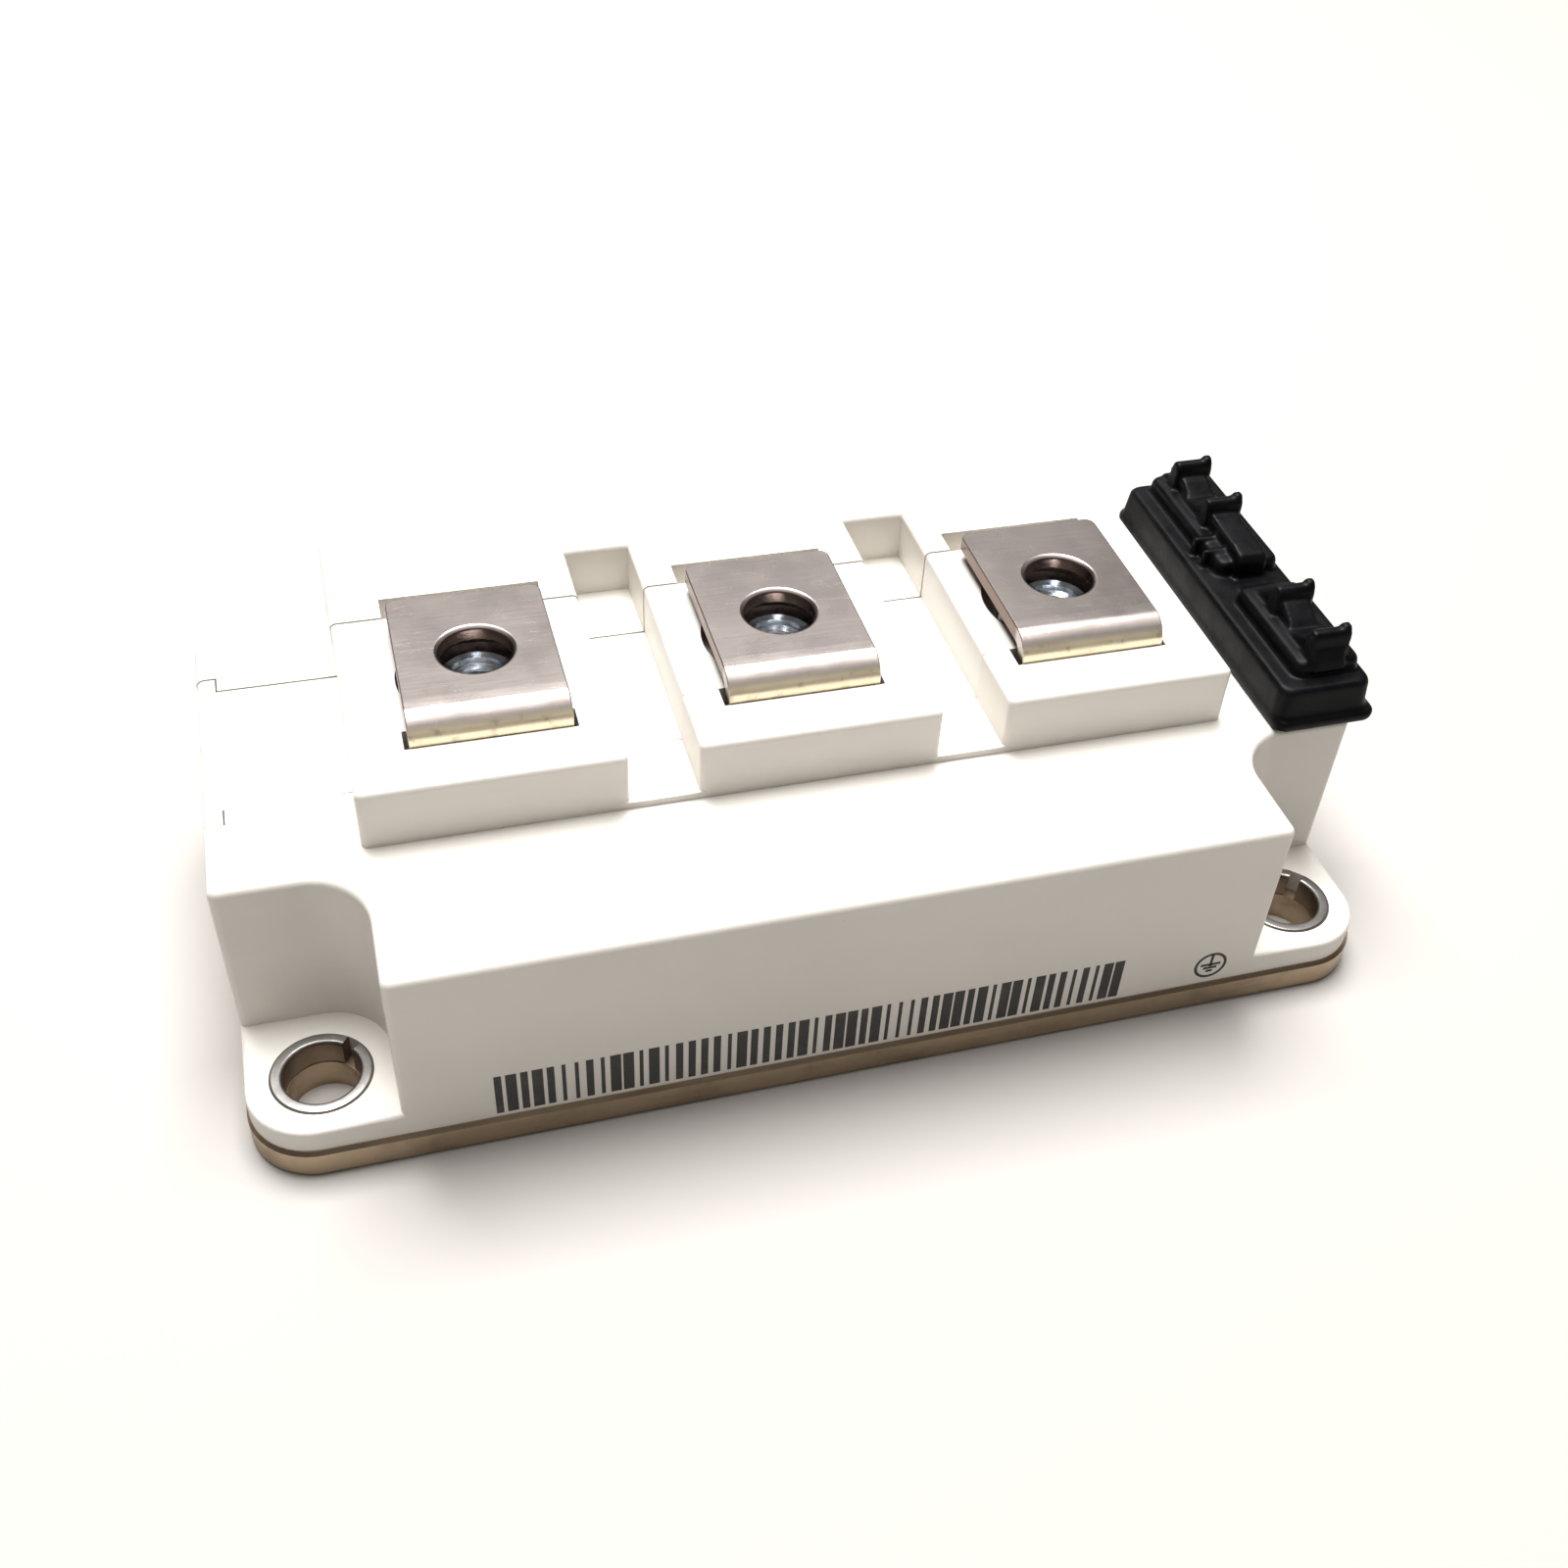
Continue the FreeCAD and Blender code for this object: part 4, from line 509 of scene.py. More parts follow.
def metallised_chip():
    """Silicon with an aluminium face that fine gate runners divide"""
    f = Finish("metallised_chip", "chip", Metallic=0.9)
    runner = f.node("ShaderNodeTexWave", {"wave_type": "BANDS", "bands_direction": "X"},
                    {"Vector": f.place, "Scale": 140.0}).outputs[1]
    stripe = f.span(Value(f, runner), 0.05, 0.12)
    cloud = f.noise(1.2 * MM, 3.0)
    tint = f.blend(stripe, (0.16, 0.17, 0.22), (0.62, 0.62, 0.63))
    tint = f.blend(f.span(cloud, 0.4, 0.7) * 0.3, tint, (0.45, 0.45, 0.5))
    f.wear(tint, f.span(cloud, 0.3, 0.7, 0.2, 0.34), f.bump(stripe, 0.01 * MM))
    return f


def clear_gel():
    """Soft clear silicone over the chips"""
    f = Finish("clear_silicone", "clear_gel", Transmission_Weight=0.85, IOR=1.41)
    cloud = f.noise(6 * MM, 3.0)
    tint = f.blend(f.span(cloud, 0.35, 0.7), (0.86, 0.87, 0.84), (0.93, 0.93, 0.9))
    f.wear(tint, f.span(cloud, 0.3, 0.7, 0.05, 0.12), f.bump(cloud, 0.03 * MM))
    return f


def sealing_bead():
    """Cured silicone adhesive, slightly lumpy"""
    f = Finish("sealing_bead", "adhesive")
    lump = f.noise(1.4 * MM, 3.0)
    tint = f.blend(f.span(lump, 0.35, 0.7), (0.30, 0.29, 0.27), (0.45, 0.43, 0.40))
    f.wear(tint, f.span(lump, 0.3, 0.7, 0.35, 0.5), f.bump(lump, 0.08 * MM))
    return f


# Meshes

def dress(piece, finish):
    """Puts one finish on a piece"""
    piece.data.materials.clear()
    piece.data.materials.append(finish.material)


def dress_nodes(names, finish):
    """Puts one finish on nodes of the frame, in their objects' own slots"""
    for name in names:
        node = NODES[name]
        for place in node.material_slots:
            place.link = "OBJECT"
            place.material = finish.material


def starting(words):
    """Names of the nodes that start with a text, or with any of several"""
    return [name for name in NODES if name.startswith(words)]


def add_object(name, data):
    """Puts a mesh, a lamp or a camera into the scene"""
    piece = bpy.data.objects.new(name, data)
    bpy.context.scene.collection.objects.link(piece)
    return piece


def add_mesh(name, shape):
    """Ends a bmesh as a piece whose faces point outwards"""
    bmesh.ops.recalc_face_normals(shape, faces=shape.faces)
    mesh = bpy.data.meshes.new(name)
    shape.to_mesh(mesh)
    shape.free()
    return add_object(name, mesh)


def copy_node(name, node, round_edges=0.0):
    """A merged copy of a node's mesh with rounded edges and smooth faces"""
    shape = bmesh.new()
    shape.from_mesh(NODES[node].data)
    bmesh.ops.remove_doubles(shape, verts=shape.verts, dist=MERGE_DISTANCE)
    bmesh.ops.dissolve_limit(
        shape, angle_limit=FLAT_ANGLE, verts=shape.verts, edges=shape.edges)
    mesh = bpy.data.meshes.new(name)
    shape.to_mesh(mesh)
    shape.free()
    if "custom_normal" in mesh.attributes:  # of the import; they don't fit the merged faces
        mesh.attributes.remove(mesh.attributes["custom_normal"])
    piece = add_object(name, mesh)
    if round_edges:
        bevel = piece.modifiers.new("rounding", "BEVEL")
        bevel.width = round_edges
        bevel.segments = 3
        bevel.limit_method = "ANGLE"
        bevel.angle_limit = EDGE_ANGLE
        bevel.miter_outer = "MITER_ARC"
        finish_modifiers(piece)
    smooth(piece)
    weigh = piece.modifiers.new("flat_faces", "WEIGHTED_NORMAL")
    weigh.keep_sharp = True
    finish_modifiers(piece)
    return piece


def draw_in(piece, depth):
    """Moves every face of a piece inwards by one depth"""
    shape = bmesh.new()
    shape.from_mesh(piece.data)
    moves = []
    for corner in shape.verts:
        walls = []
        for face in corner.link_faces:
            if all(face.normal.dot(wall) < SAME_WALL for wall in walls):
                walls.append(face.normal.copy())
        moves.append(sum(walls, Vector()) * -depth)
    for corner, move in zip(shape.verts, moves):
        corner.co += move
    shape.to_mesh(piece.data)
    shape.free()


def finish_modifiers(piece):
    """Turns a piece with live modifiers into its plain mesh"""
    graph = bpy.context.evaluated_depsgraph_get()
    mesh = bpy.data.meshes.new_from_object(piece.evaluated_get(graph))
    piece.modifiers.clear()
    piece.data = mesh


def smooth(piece, sharp=35.0):
    """Smooth faces, with edges left sharp past one angle in degrees"""
    mesh = piece.data
    mesh.polygons.foreach_set("use_smooth", [True] * len(mesh.polygons))
    mesh.set_sharp_from_angle(angle=math.radians(sharp))


def declare(piece, slot, *nodes):
    """Rides a finished piece on the part, for the nodes that it stands for"""
    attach(piece, "root")
    if nodes:
        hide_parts(*nodes)


def bridge(shape, ring, following):
    """Faces between two closed rings of as many vertices"""
    for number in range(len(ring)):
        after = (number + 1) % len(ring)
        shape.faces.new((ring[number], ring[after], following[after], following[number]))


def turned_rings(shape, profile, steps, start=0.0, sweep=2 * math.pi):
    """A closed profile of (radius, height) swept about Z, all the way or with its ends shut"""
    closed = abs(sweep - 2 * math.pi) < 1e-6
    rings = []
    for step in range(steps if closed else steps + 1):
        angle = start + sweep * step / steps
        rings.append([
            shape.verts.new((radius * math.cos(angle), radius * math.sin(angle), height))
            for radius, height in profile])
    pairs = zip(rings, rings[1:] + rings[:1]) if closed else zip(rings, rings[1:])
    for ring, following in pairs:
        bridge(shape, ring, following)
    if not closed:
        shape.faces.new(rings[0])
        shape.faces.new(list(reversed(rings[-1])))


def rounded_profile(corners, steps=5):
    """Corners of (radius, height, rounding) as the points of a closed profile"""
    points = []
    count = len(corners)
    for number, (across, up, rounding) in enumerate(corners):
        here = Vector((across, up))
        if rounding <= 0:
            points.append(tuple(here))
            continue
        before = (Vector(corners[number - 1][:2]) - here).normalized()
        after = (Vector(corners[(number + 1) % count][:2]) - here).normalized()
        angle = before.angle(after)
        reach = rounding / math.tan(angle / 2)
        start = here + before * reach
        end = here + after * reach
        centre = here + (before + after).normalized() * rounding / math.sin(angle / 2)
        for step in range(steps + 1):
            way = (start - centre).lerp(end - centre, step / steps).normalized()
            points.append(tuple(centre + way * rounding))
    return points


# Geometry Nodes

class Tree:
    """A Geometry Nodes tree with named inputs, run once on a piece"""

    def __init__(self, name):
        self.group = bpy.data.node_groups.new(name, "GeometryNodeTree")
        self.group.interface.new_socket(
            name="Geometry", in_out="OUTPUT", socket_type="NodeSocketGeometry")
        self.entry = self.group.nodes.new("NodeGroupInput")
        self.exit = self.group.nodes.new("NodeGroupOutput")
        self.identifiers = {}

    def input(self, name, kind):
        """A named input of the tree; returns its socket inside the tree"""
        made = self.group.interface.new_socket(
            name=name, in_out="INPUT", socket_type="NodeSocket" + kind)
        self.identifiers[name] = made.identifier
        return next(socket for socket in self.entry.outputs
                    if socket.identifier == made.identifier)

    def node(self, kind, settings=(), inputs=()):
        """A node with its settings, and the values or links of its sockets"""
        return add_node(self.group, kind, settings, inputs)

    def sum(self, operation, first, second):
        """A Math node on two values or links"""
        return self.node("ShaderNodeMath", {"operation": operation},
                         {0: first, 1: second}).outputs[0]

    def end(self, geometry, material):
        """Ends the tree: instances made real, and the finish set"""
        real = self.node("GeometryNodeRealizeInstances", {}, {0: geometry}).outputs[0]
        done = self.node("GeometryNodeSetMaterial", {}, {"Geometry": real, "Material": material})
        self.group.links.new(done.outputs[0], self.exit.inputs[0])

    def grow(self, name, values):
        """Runs the tree on a new piece and returns its plain mesh"""
        piece = add_object(name, bpy.data.meshes.new(name))
        growth = piece.modifiers.new("growth", "NODES")
        growth.node_group = self.group
        for key, value in values.items():
            growth[self.identifiers[key]] = value
        finish_modifiers(piece)
        return piece


def thread_tree():
    """A thread ridge on a helix, with a sharp crest towards the axis"""
    tree = Tree("thread_ridge")
    root = tree.input("Root Radius", "Float")
    crest = tree.input("Crest Radius", "Float")
    pitch = tree.input("Pitch", "Float")
    turns = tree.input("Turns", "Float")
    place = tree.input("Place", "Vector")
    material = tree.input("Material", "Material")
    helix = tree.node("GeometryNodeCurveSpiral", {}, {
        "Resolution": 56, "Rotations": turns, "Start Radius": root, "End Radius": root,
        "Height": tree.sum("MULTIPLY", pitch, turns)}).outputs[0]
    depth = tree.sum("SUBTRACT", root, crest)
    half = tree.sum("MULTIPLY", pitch, RIDGE_FOOT)
    flat = tree.sum("MULTIPLY", pitch, RIDGE_CREST)
    inside = tree.sum("MULTIPLY", depth, -RIDGE_SUNK)
    points = [(inside, half), (depth, flat), (depth, tree.sum("MULTIPLY", flat, -1.0)),
              (inside, tree.sum("MULTIPLY", half, -1.0))]
    profile = tree.node("GeometryNodeCurvePrimitiveQuadrilateral", {"mode": "POINTS"})
    for number, (across, up) in enumerate(points):
        corner = tree.node("ShaderNodeCombineXYZ", {}, {0: across, 1: up}).outputs[0]
        tree.group.links.new(corner, profile.inputs["Point " + str(number + 1)])
    upright = tree.node(
        "GeometryNodeSetCurveNormal", {"mode": "Z_UP"}, {0: helix}).outputs[0]
    ridge = tree.node("GeometryNodeCurveToMesh", {}, {
        "Curve": upright, "Profile Curve": profile.outputs[0], "Fill Caps": True}).outputs[0]
    moved = tree.node("GeometryNodeTransform", {}, {
        "Geometry": ridge, "Translation": place}).outputs[0]
    tree.end(moved, material)
    return tree


def bar_tree():
    """A row of upright bars whose widths and places are drawn from a seed"""
    tree = Tree("printed_bars")
    start = tree.input("Start", "Vector")
    step = tree.input("Step", "Float")
    count = tree.input("Count", "Int")
    height = tree.input("Height", "Float")
    depth = tree.input("Thickness", "Float")
    seed = tree.input("Seed", "Int")
    material = tree.input("Material", "Material")
    offset = tree.node("ShaderNodeCombineXYZ", {}, {0: step}).outputs[0]
    row = tree.node("GeometryNodeMeshLine", {"mode": "OFFSET"}, {
        "Count": count, "Start Location": start, "Offset": offset}).outputs[0]
    bar = tree.node("GeometryNodeMeshCube", {}, {"Size": (1.0, 1.0, 1.0)}).outputs[0]
    grade = tree.node("FunctionNodeRandomValue", {"data_type": "INT"}, {
        4: 0, 5: WIDEST_GRADE, "Seed": seed}).outputs[2]
    share = tree.sum("ADD", tree.sum("MULTIPLY", grade, BAR_GRADE), NARROWEST_BAR)
    width = tree.sum("MULTIPLY", step, share)
    size = tree.node("ShaderNodeCombineXYZ", {}, {0: width, 1: depth, 2: height}).outputs[0]
    bars = tree.node("GeometryNodeInstanceOnPoints", {}, {
        "Points": row, "Instance": bar, "Scale": size}).outputs[0]
    widest = NARROWEST_BAR + WIDEST_GRADE * BAR_GRADE
    slack = tree.sum("MULTIPLY", tree.sum("SUBTRACT", widest, share), step)
    sway = tree.node("FunctionNodeRandomValue", {"data_type": "FLOAT"}, {
        2: -0.5, 3: 0.5, "Seed": tree.sum("ADD", seed, 1.0)}).outputs[1]
    shift = tree.node("ShaderNodeCombineXYZ", {}, {
        0: tree.sum("MULTIPLY", slack, sway)}).outputs[0]
    swayed = tree.node("GeometryNodeTranslateInstances", {}, {
        "Instances": bars, "Translation": shift}).outputs[0]
    tree.end(swayed, material)
    return tree


# Shapes of the nuts and the cap

def nut_body(name, low, high, bevel, bore):
    """A hexagon with a plain bore, as a stack of rings from the bore outwards and back"""
    flats = (high.y - low.y) / 2
    height = high.z - low.z
    mouth = bore + NUT_CHAMFER
    corner = flats / math.cos(math.pi / 6)
    shape = bmesh.new()
    rows = (
        (bore, NUT_CHAMFER, False), (mouth, 0.0, False), (flats - bevel * 0.6, 0.0, False),
        (flats, bevel * 0.35, True), (corner, bevel * 1.5, True),
        (corner, height - bevel * 1.5, True), (flats, height - bevel * 0.35, True),
        (flats - bevel * 0.6, height, False), (mouth, height, False),
        (bore, height - NUT_CHAMFER, False))
    rings = []
    for radius, level, hexagonal in rows:
        ring = []
        for step in range(NUT_STEPS):
            angle = 2 * math.pi * step / NUT_STEPS
            reach = radius
            if hexagonal:
                from_flat = (angle % (math.pi / 3)) - math.pi / 6
                reach = min(radius, flats / math.cos(from_flat))
            turn = angle + math.pi / 6
            ring.append(shape.verts.new(
                (reach * math.sin(turn), reach * math.cos(turn), level)))
        rings.append(ring)
    for ring, following in zip(rings, rings[1:] + rings[:1]):
        bridge(shape, ring, following)
    piece = add_mesh(name, shape)
    smooth(piece, 25.0)
    return piece


def loft(shape, sides, corner, deck, levels, steps=24):
    """A rounded rectangle between four sides that steps in and up through its levels"""
    left, right, front, back = sides
    rings = []
    for in_left, in_right, in_front, in_back, height in levels:
        ring = []
        for turn in range(steps):
            angle = 2 * math.pi * (turn + 0.5) / steps
            across, along = math.cos(angle), math.sin(angle)
            x = (right - in_right * MM - corner if across > 0
                 else left + in_left * MM + corner) + corner * across
            y = (back - in_back * MM - corner if along > 0
                 else front + in_front * MM + corner) + corner * along
            ring.append(shape.verts.new((x, y, deck + height * MM)))
        rings.append(ring)
    for ring, above in zip(rings, rings[1:]):
        bridge(shape, ring, above)
    shape.faces.new(rings[0])
    shape.faces.new(rings[-1])


def slab(shape, base, row, outline, width):
    """An outline of (behind the row, height) with a width of (half, shift) along X"""
    half, shift = width
    sides = []
    for side in (-1, 1):
        sides.append([
            shape.verts.new(base + Vector((
                shift * MM + side * (half * MM - max(0.0, height - TAPER_FROM) * TAPER * MM),
                row + behind * MM, height * MM)))
            for behind, height in outline])
        shape.faces.new(sides[-1])
    bridge(shape, *sides)


def cap_hollow(low, high, rows):
    """The rooms under the cap for the plinth and the tabs, as one cutting piece"""
    middle = (low + high) / 2
    half = (high - low) / 2
    wall = CAP_WALL * MM
    room_middle, room_height = PLINTH_ROOM
    rooms = [((middle.x, middle.y, low.z + room_middle * MM),
              (2 * (half.x - wall), 2 * (half.y - wall), room_height * MM))]
    for row in rows:
        rooms.append(((middle.x, row, low.z + TAB_ROOM_MIDDLE * MM),
                      tuple(side * MM for side in TAB_ROOM)))
    shape = bmesh.new()
    for centre, size in rooms:
        made = bmesh.ops.create_cube(shape, size=1.0)
        bmesh.ops.transform(shape, verts=made["verts"], matrix=(
            Matrix.Translation(centre) @ Matrix.Diagonal((*size, 1.0))))
    return add_mesh("hollow", shape)


def soft_cap(grain):
    """Skirt, humps, fins and ramps fused to one skin, smoothed and hollowed"""
    low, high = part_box("shorting_cap")
    rows = [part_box("signal_tab_1")[1].y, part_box("signal_tab_2")[1].y,
            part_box("signal_tab_3")[0].y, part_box("signal_tab_4")[0].y]
    middle = ((low + high) / 2).x
    base = Vector((middle, 0.0, low.z))
    shape = bmesh.new()
    loft(shape, (low.x, high.x, low.y + CAP_FRONT * MM, high.y + CAP_BACK * MM),
         CAP_CORNER * MM, low.z, CAP_SKIRT)
    left, right = (middle + side * MM for side in HUMP_SIDES)
    for ends in HUMP_ENDS:
        front, back = (rows[row] + behind * MM for row, behind in ends)
        loft(shape, (left, right, front, back), HUMP_CORNER * MM, low.z, CAP_HUMP)
    for row, ramp, brace in zip(rows, CAP_RAMPS, CAP_BRACES):
        for outline, width in ((CAP_FIN, FIN_WIDTH), (CAP_FIN_END, FIN_END_WIDTH),
                               (ramp, RAMP_WIDTH), (brace, BRACE_WIDTH)):
            slab(shape, base, row, outline, width)
    for place in RIB_ROWS:
        slab(shape, base, place * MM, CAP_RIB, RIB_WIDTH)
    piece = add_mesh("rubber_cap", shape)
    fuse = piece.modifiers.new("fuse", "REMESH")
    fuse.mode = "VOXEL"
    fuse.voxel_size = grain
    soften = piece.modifiers.new("soften", "SMOOTH")
    soften.factor = 0.5
    soften.iterations = 4
    cutter = cap_hollow(low, high, rows)
    carve = piece.modifiers.new("hollow", "BOOLEAN")
    carve.operation = "DIFFERENCE"
    carve.solver = "EXACT"
    carve.object = cutter
    finish_modifiers(piece)
    bpy.data.objects.remove(cutter)
    smooth(piece, 50.0)
    return piece


# Pieces

class MODULE_OT_camera(Operator):
    """Set the camera that sees the module as the photograph does"""

    bl_idname = "module.camera"
    bl_label = "Camera"
    bl_options = {"REGISTER", "UNDO"}

    def execute(self, context):
        data = bpy.data.cameras.new("view")
        data.lens = 39.63
        data.sensor_width = 36.0
        data.shift_x = -0.0203
        data.shift_y = 0.0227
        data.clip_start = 0.01
        camera = add_object("view", data)
        camera.location = (-0.03803, -0.12460, 0.12523)
        camera.rotation_euler = Euler(
            [math.radians(angle) for angle in (47.074, -3.191, -16.135)])
        bpy.context.scene.camera = camera
        return {"FINISHED"}


class MODULE_OT_stage(Operator):
    """Lay the pale floor and set the soft studio light"""

    bl_idname = "module.stage"
    bl_label = "Stage"
    bl_options = {"REGISTER", "UNDO"}

    def execute(self, context):
        shape = bmesh.new()
        bmesh.ops.create_grid(shape, x_segments=1, y_segments=1, size=FLOOR_HALF)
        floor = add_mesh("floor", shape)
        f = Finish("studio_floor", "", Roughness=0.8)
        cloud = f.noise(0.6, 2.0)
        pale = tuple(context.scene.module_colours.floor)
        f.wear(f.blend(f.span(cloud, 0.3, 0.7), shade(pale, 0.995), pale))
        dress(floor, f)

        world = bpy.data.worlds.new("studio")
        world.use_nodes = True
        sky = world.node_tree.nodes["Background"]
        sky.inputs["Color"].default_value = SKY_COLOUR
        sky.inputs["Strength"].default_value = SKY_STRENGTH
        context.scene.world = world
        for name, side, power, place in LAMPS:
            data = bpy.data.lights.new(name, "AREA")
            data.shape = "SQUARE"
            data.size = side
            data.energy = power
            lamp = add_object(name, data)
            lamp.location = place
            way = Vector() - Vector(place)
            lamp.rotation_euler = way.to_track_quat("-Z", "Y").to_euler()
        view = context.scene.view_settings
        view.view_transform = "Standard"
        view.look = "None"
        view.gamma = VIEW_GAMMA
        return {"FINISHED"}


class MODULE_OT_body(Operator):
    """Finish the base plate, the housing and the nut carrier"""

    bl_idname = "module.body"
    bl_label = "Housing and Base Plate"
    bl_options = {"REGISTER", "UNDO"}

    def execute(self, context):
        colours = context.scene.module_colours
        slack = context.scene.module_sizes.carrier_slack
        housing = moulded_plastic("housing_plastic", "white_plastic", tuple(colours.housing))
        carrier = moulded_plastic("carrier_plastic", "carrier_plastic",
                                  tuple(colours.carrier), 0.36)
        nickel = nickel_plating(colours)
        for name, node, finish, depth in (("housing_shell", "housing", housing, 0.0),
                                          ("carrier_moulding", "nut_carrier", carrier, slack),
                                          ("cooling_plate", "base_plate", nickel, 0.0)):
            piece = copy_node(name, node)
            if depth:
                draw_in(piece, depth)
            dress(piece, finish)
            declare(piece, finish.slot, node)
        dress_nodes(["seal_bead"], sealing_bead())
        return {"FINISHED"}


class MODULE_OT_terminals(Operator):
    """Make the three screw terminals"""

    bl_idname = "module.terminals"
    bl_label = "Screw Terminals"
    bl_options = {"REGISTER", "UNDO"}

    def execute(self, context):
        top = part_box("terminal_left")[1].z
        finish = terminal_plating(context.scene.module_colours, top)
        for place in PLACES:
            node = "terminal_" + place
            piece = copy_node("contact_strip_" + place, node,
                              context.scene.module_sizes.plate_edge)
            dress(piece, finish)
            declare(piece, finish.slot, node)
        return {"FINISHED"}


class MODULE_OT_nuts(Operator):
    """Make the nuts with their threads"""

    bl_idname = "module.nuts"
    bl_label = "Threaded Nuts"
    bl_options = {"REGISTER", "UNDO"}

    def execute(self, context):
        sizes = context.scene.module_sizes
        finish = zinc_plating(context.scene.module_colours)
        tree = thread_tree()
        bore = sizes.thread_diameter / 2
        for place in PLACES:
            node = "nut_" + place
            low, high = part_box(node)
            centre = (low + high) / 2
            body = nut_body("hexagon_nut_" + place, low, high, sizes.nut_bevel, bore)
            body.data.transform(Matrix.Translation((centre.x, centre.y, low.z)))
            dress(body, finish)
            ridge = tree.grow("nut_thread_" + place, {
                "Root Radius": bore,
                "Crest Radius": sizes.thread_crest / 2,
                "Pitch": sizes.thread_pitch,
                "Turns": (high.z - low.z) / sizes.thread_pitch - 1.6,
                "Place": (centre.x, centre.y, low.z + 0.8 * sizes.thread_pitch),
                "Material": finish.material})
            smooth(ridge, 30.0)
            declare(body, finish.slot, node)
            declare(ridge, finish.slot)
        return {"FINISHED"}


class MODULE_OT_sleeves(Operator):
    """Make the rolled mounting sleeves"""

    bl_idname = "module.sleeves"
    bl_label = "Mounting Sleeves"
    bl_options = {"REGISTER", "UNDO"}

    def execute(self, context):
        sizes = context.scene.module_sizes
        rim = sizes.sleeve_rim
        finish = rolled_steel(context.scene.module_colours)
        for corner in CORNERS:
            node = "sleeve_" + corner
            low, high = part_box(node)
            centre = (low + high) / 2
            outer = (high.x - low.x) / 2
            inner = outer - SLEEVE_WALL
            profile = rounded_profile((
                (inner, low.z, 0.0), (outer, low.z, 0.0),
                (outer, high.z, rim), (inner, high.z, rim * BORE_RIM)))
            gap = sizes.sleeve_slit / outer
            shape = bmesh.new()
            turned_rings(shape, profile, SLEEVE_STEPS, start=SLIT_ANGLE + gap / 2,
                         sweep=2 * math.pi - gap)
            piece = add_mesh("rolled_sleeve_" + corner, shape)
            piece.data.transform(Matrix.Translation((centre.x, centre.y, 0.0)))
            smooth(piece, 40.0)
            dress(piece, finish)
            declare(piece, finish.slot, node)
        return {"FINISHED"}


class MODULE_OT_cap(Operator):
    """Make the soft black cap over the signal tabs and finish the tabs"""

    bl_idname = "module.cap"
    bl_label = "Shorting Cap"
    bl_options = {"REGISTER", "UNDO"}

    def execute(self, context):
        finish = black_rubber(context.scene.module_colours)
        piece = soft_cap(context.scene.module_sizes.cap_grain)
        dress(piece, finish)
        declare(piece, finish.slot, "shorting_cap")
        dress_nodes(starting("signal_tab_"), tab_plating())
        return {"FINISHED"}


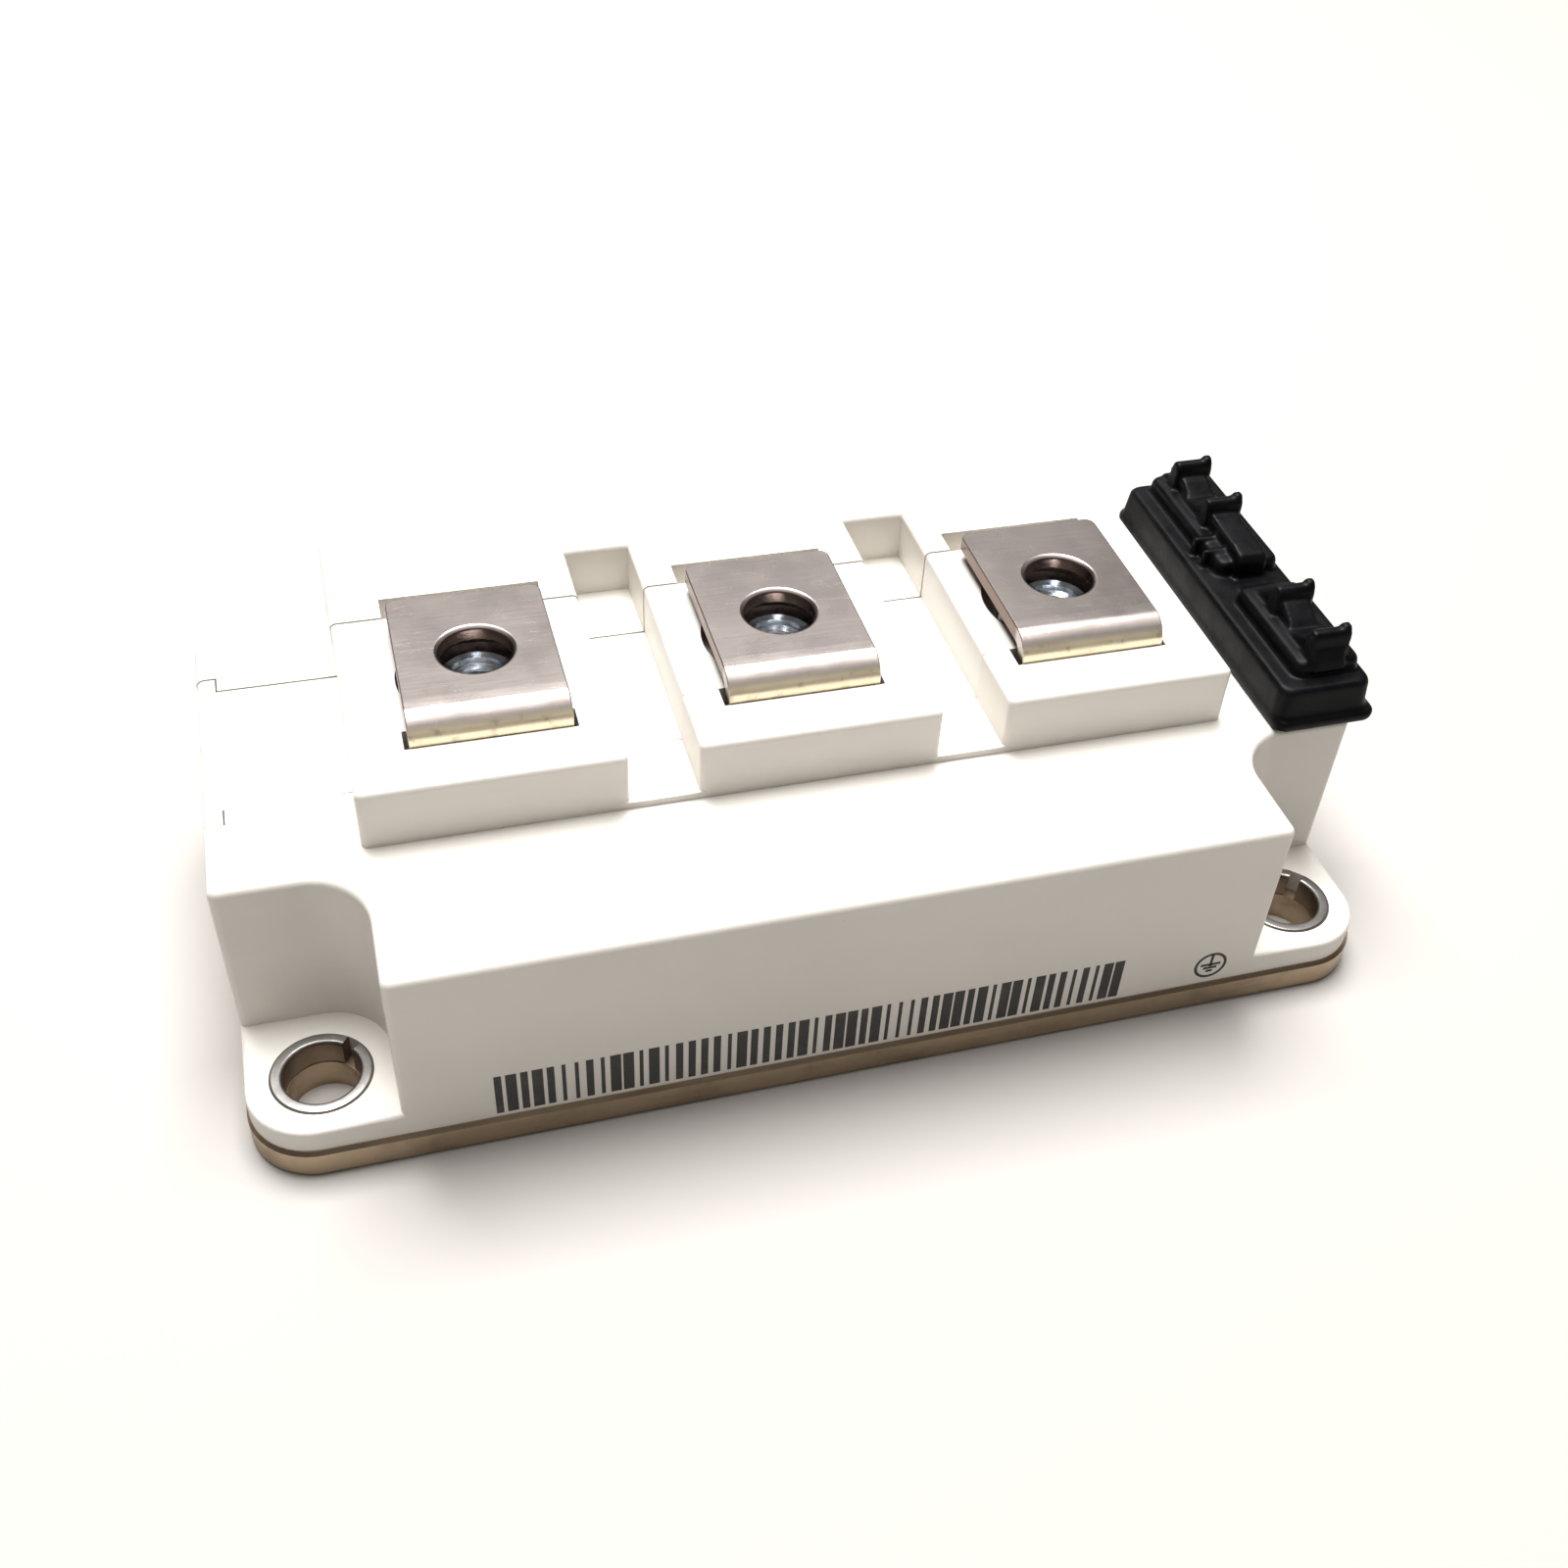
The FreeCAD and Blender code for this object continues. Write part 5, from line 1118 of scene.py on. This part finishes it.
class MODULE_OT_print(Operator):
    """Print the plain bars and the earth sign on the front"""

    bl_idname = "module.print"
    bl_label = "Front Print"
    bl_options = {"REGISTER", "UNDO"}

    def execute(self, context):
        sizes = context.scene.module_sizes
        finish = printed_ink(context.scene.module_colours)
        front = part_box("housing")[0].y
        step = (BARS_RIGHT - BARS_LEFT) / sizes.bar_count
        bars = bar_tree().grow("print_bars", {
            "Start": (BARS_LEFT + step / 2, front, (BARS_BOTTOM + BARS_TOP) / 2),
            "Step": step,
            "Count": sizes.bar_count,
            "Height": BARS_TOP - BARS_BOTTOM,
            "Thickness": 2 * sizes.ink_thickness,
            "Seed": sizes.bar_seed,
            "Material": finish.material})
        declare(bars, finish.slot)
        sign = self.earth_sign(front, sizes.ink_thickness)
        dress(sign, finish)
        declare(sign, finish.slot)
        return {"FINISHED"}

    def earth_sign(self, front, sunk):
        """A ring with one upright and three shorter and shorter bars, as on any earth point"""
        radius, line = EARTH_RADIUS, EARTH_LINE * EARTH_RADIUS
        shape = bmesh.new()
        turned_rings(shape, ((radius - line, -sunk), (radius, -sunk), (radius, sunk),
                             (radius - line, sunk)), 64)
        for up, half_width, half_height in EARTH_BARS:
            made = bmesh.ops.create_cube(shape, size=2.0)
            bmesh.ops.transform(shape, verts=made["verts"], matrix=(
                Matrix.Translation((0.0, up * radius, 0.0))
                @ Matrix.Diagonal((half_width * radius, half_height * radius, sunk, 1.0))))
        turn = Matrix.Rotation(math.radians(90.0), 4, "X")
        shape.transform(Matrix.Translation((EARTH_X, front, EARTH_Z)) @ turn)
        return add_mesh("earth_sign", shape)


class MODULE_OT_power_parts(Operator):
    """Finish the substrates, chips, wires, leads and gel inside"""

    bl_idname = "module.power_parts"
    bl_label = "Inside"
    bl_options = {"REGISTER", "UNDO"}

    def execute(self, context):
        for name, slot, colour, low, high, nodes in INSIDE_METALS:
            dress_nodes(starting(nodes), plain_metal(name, slot, colour, low, high))
        dress_nodes(starting("substrate_ceramic"), fired_ceramic())
        dress_nodes(starting(("transistor_chip", "diode_chip")), metallised_chip())
        dress_nodes(["silicone_gel"], clear_gel())
        return {"FINISHED"}


STEPS = (
    MODULE_OT_camera, MODULE_OT_stage, MODULE_OT_body, MODULE_OT_terminals,
    MODULE_OT_nuts, MODULE_OT_sleeves, MODULE_OT_cap, MODULE_OT_print, MODULE_OT_power_parts)


class MODULE_PT_sidebar(Panel):
    """Sizes, colours and steps of the power module"""

    bl_idname = "MODULE_PT_sidebar"
    bl_label = "Power Module"
    bl_space_type = "VIEW_3D"
    bl_region_type = "UI"
    bl_category = "Power Module"

    def draw(self, context):
        layout = self.layout
        for title, group in (("Sizes", context.scene.module_sizes),
                             ("Colours", context.scene.module_colours)):
            layout.label(text=title)
            column = layout.column()
            for name in group.bl_rna.properties.keys():
                if name not in ("rna_type", "name"):
                    column.prop(group, name)
        layout.label(text="Pieces")
        for step in STEPS:
            layout.operator(step.bl_idname)


CLASSES = (ModuleSizes, ModuleColours) + STEPS + (MODULE_PT_sidebar,)


def register():
    for each in CLASSES:
        bpy.utils.register_class(each)
    bpy.types.Scene.module_sizes = PointerProperty(type=ModuleSizes)
    bpy.types.Scene.module_colours = PointerProperty(type=ModuleColours)


def unregister():
    del bpy.types.Scene.module_colours
    del bpy.types.Scene.module_sizes
    for each in reversed(CLASSES):
        bpy.utils.unregister_class(each)


def main():
    register()
    for step in STEPS:
        group, name = step.bl_idname.split(".")
        getattr(getattr(bpy.ops, group), name)()


if __name__ == "__main__":
    main()
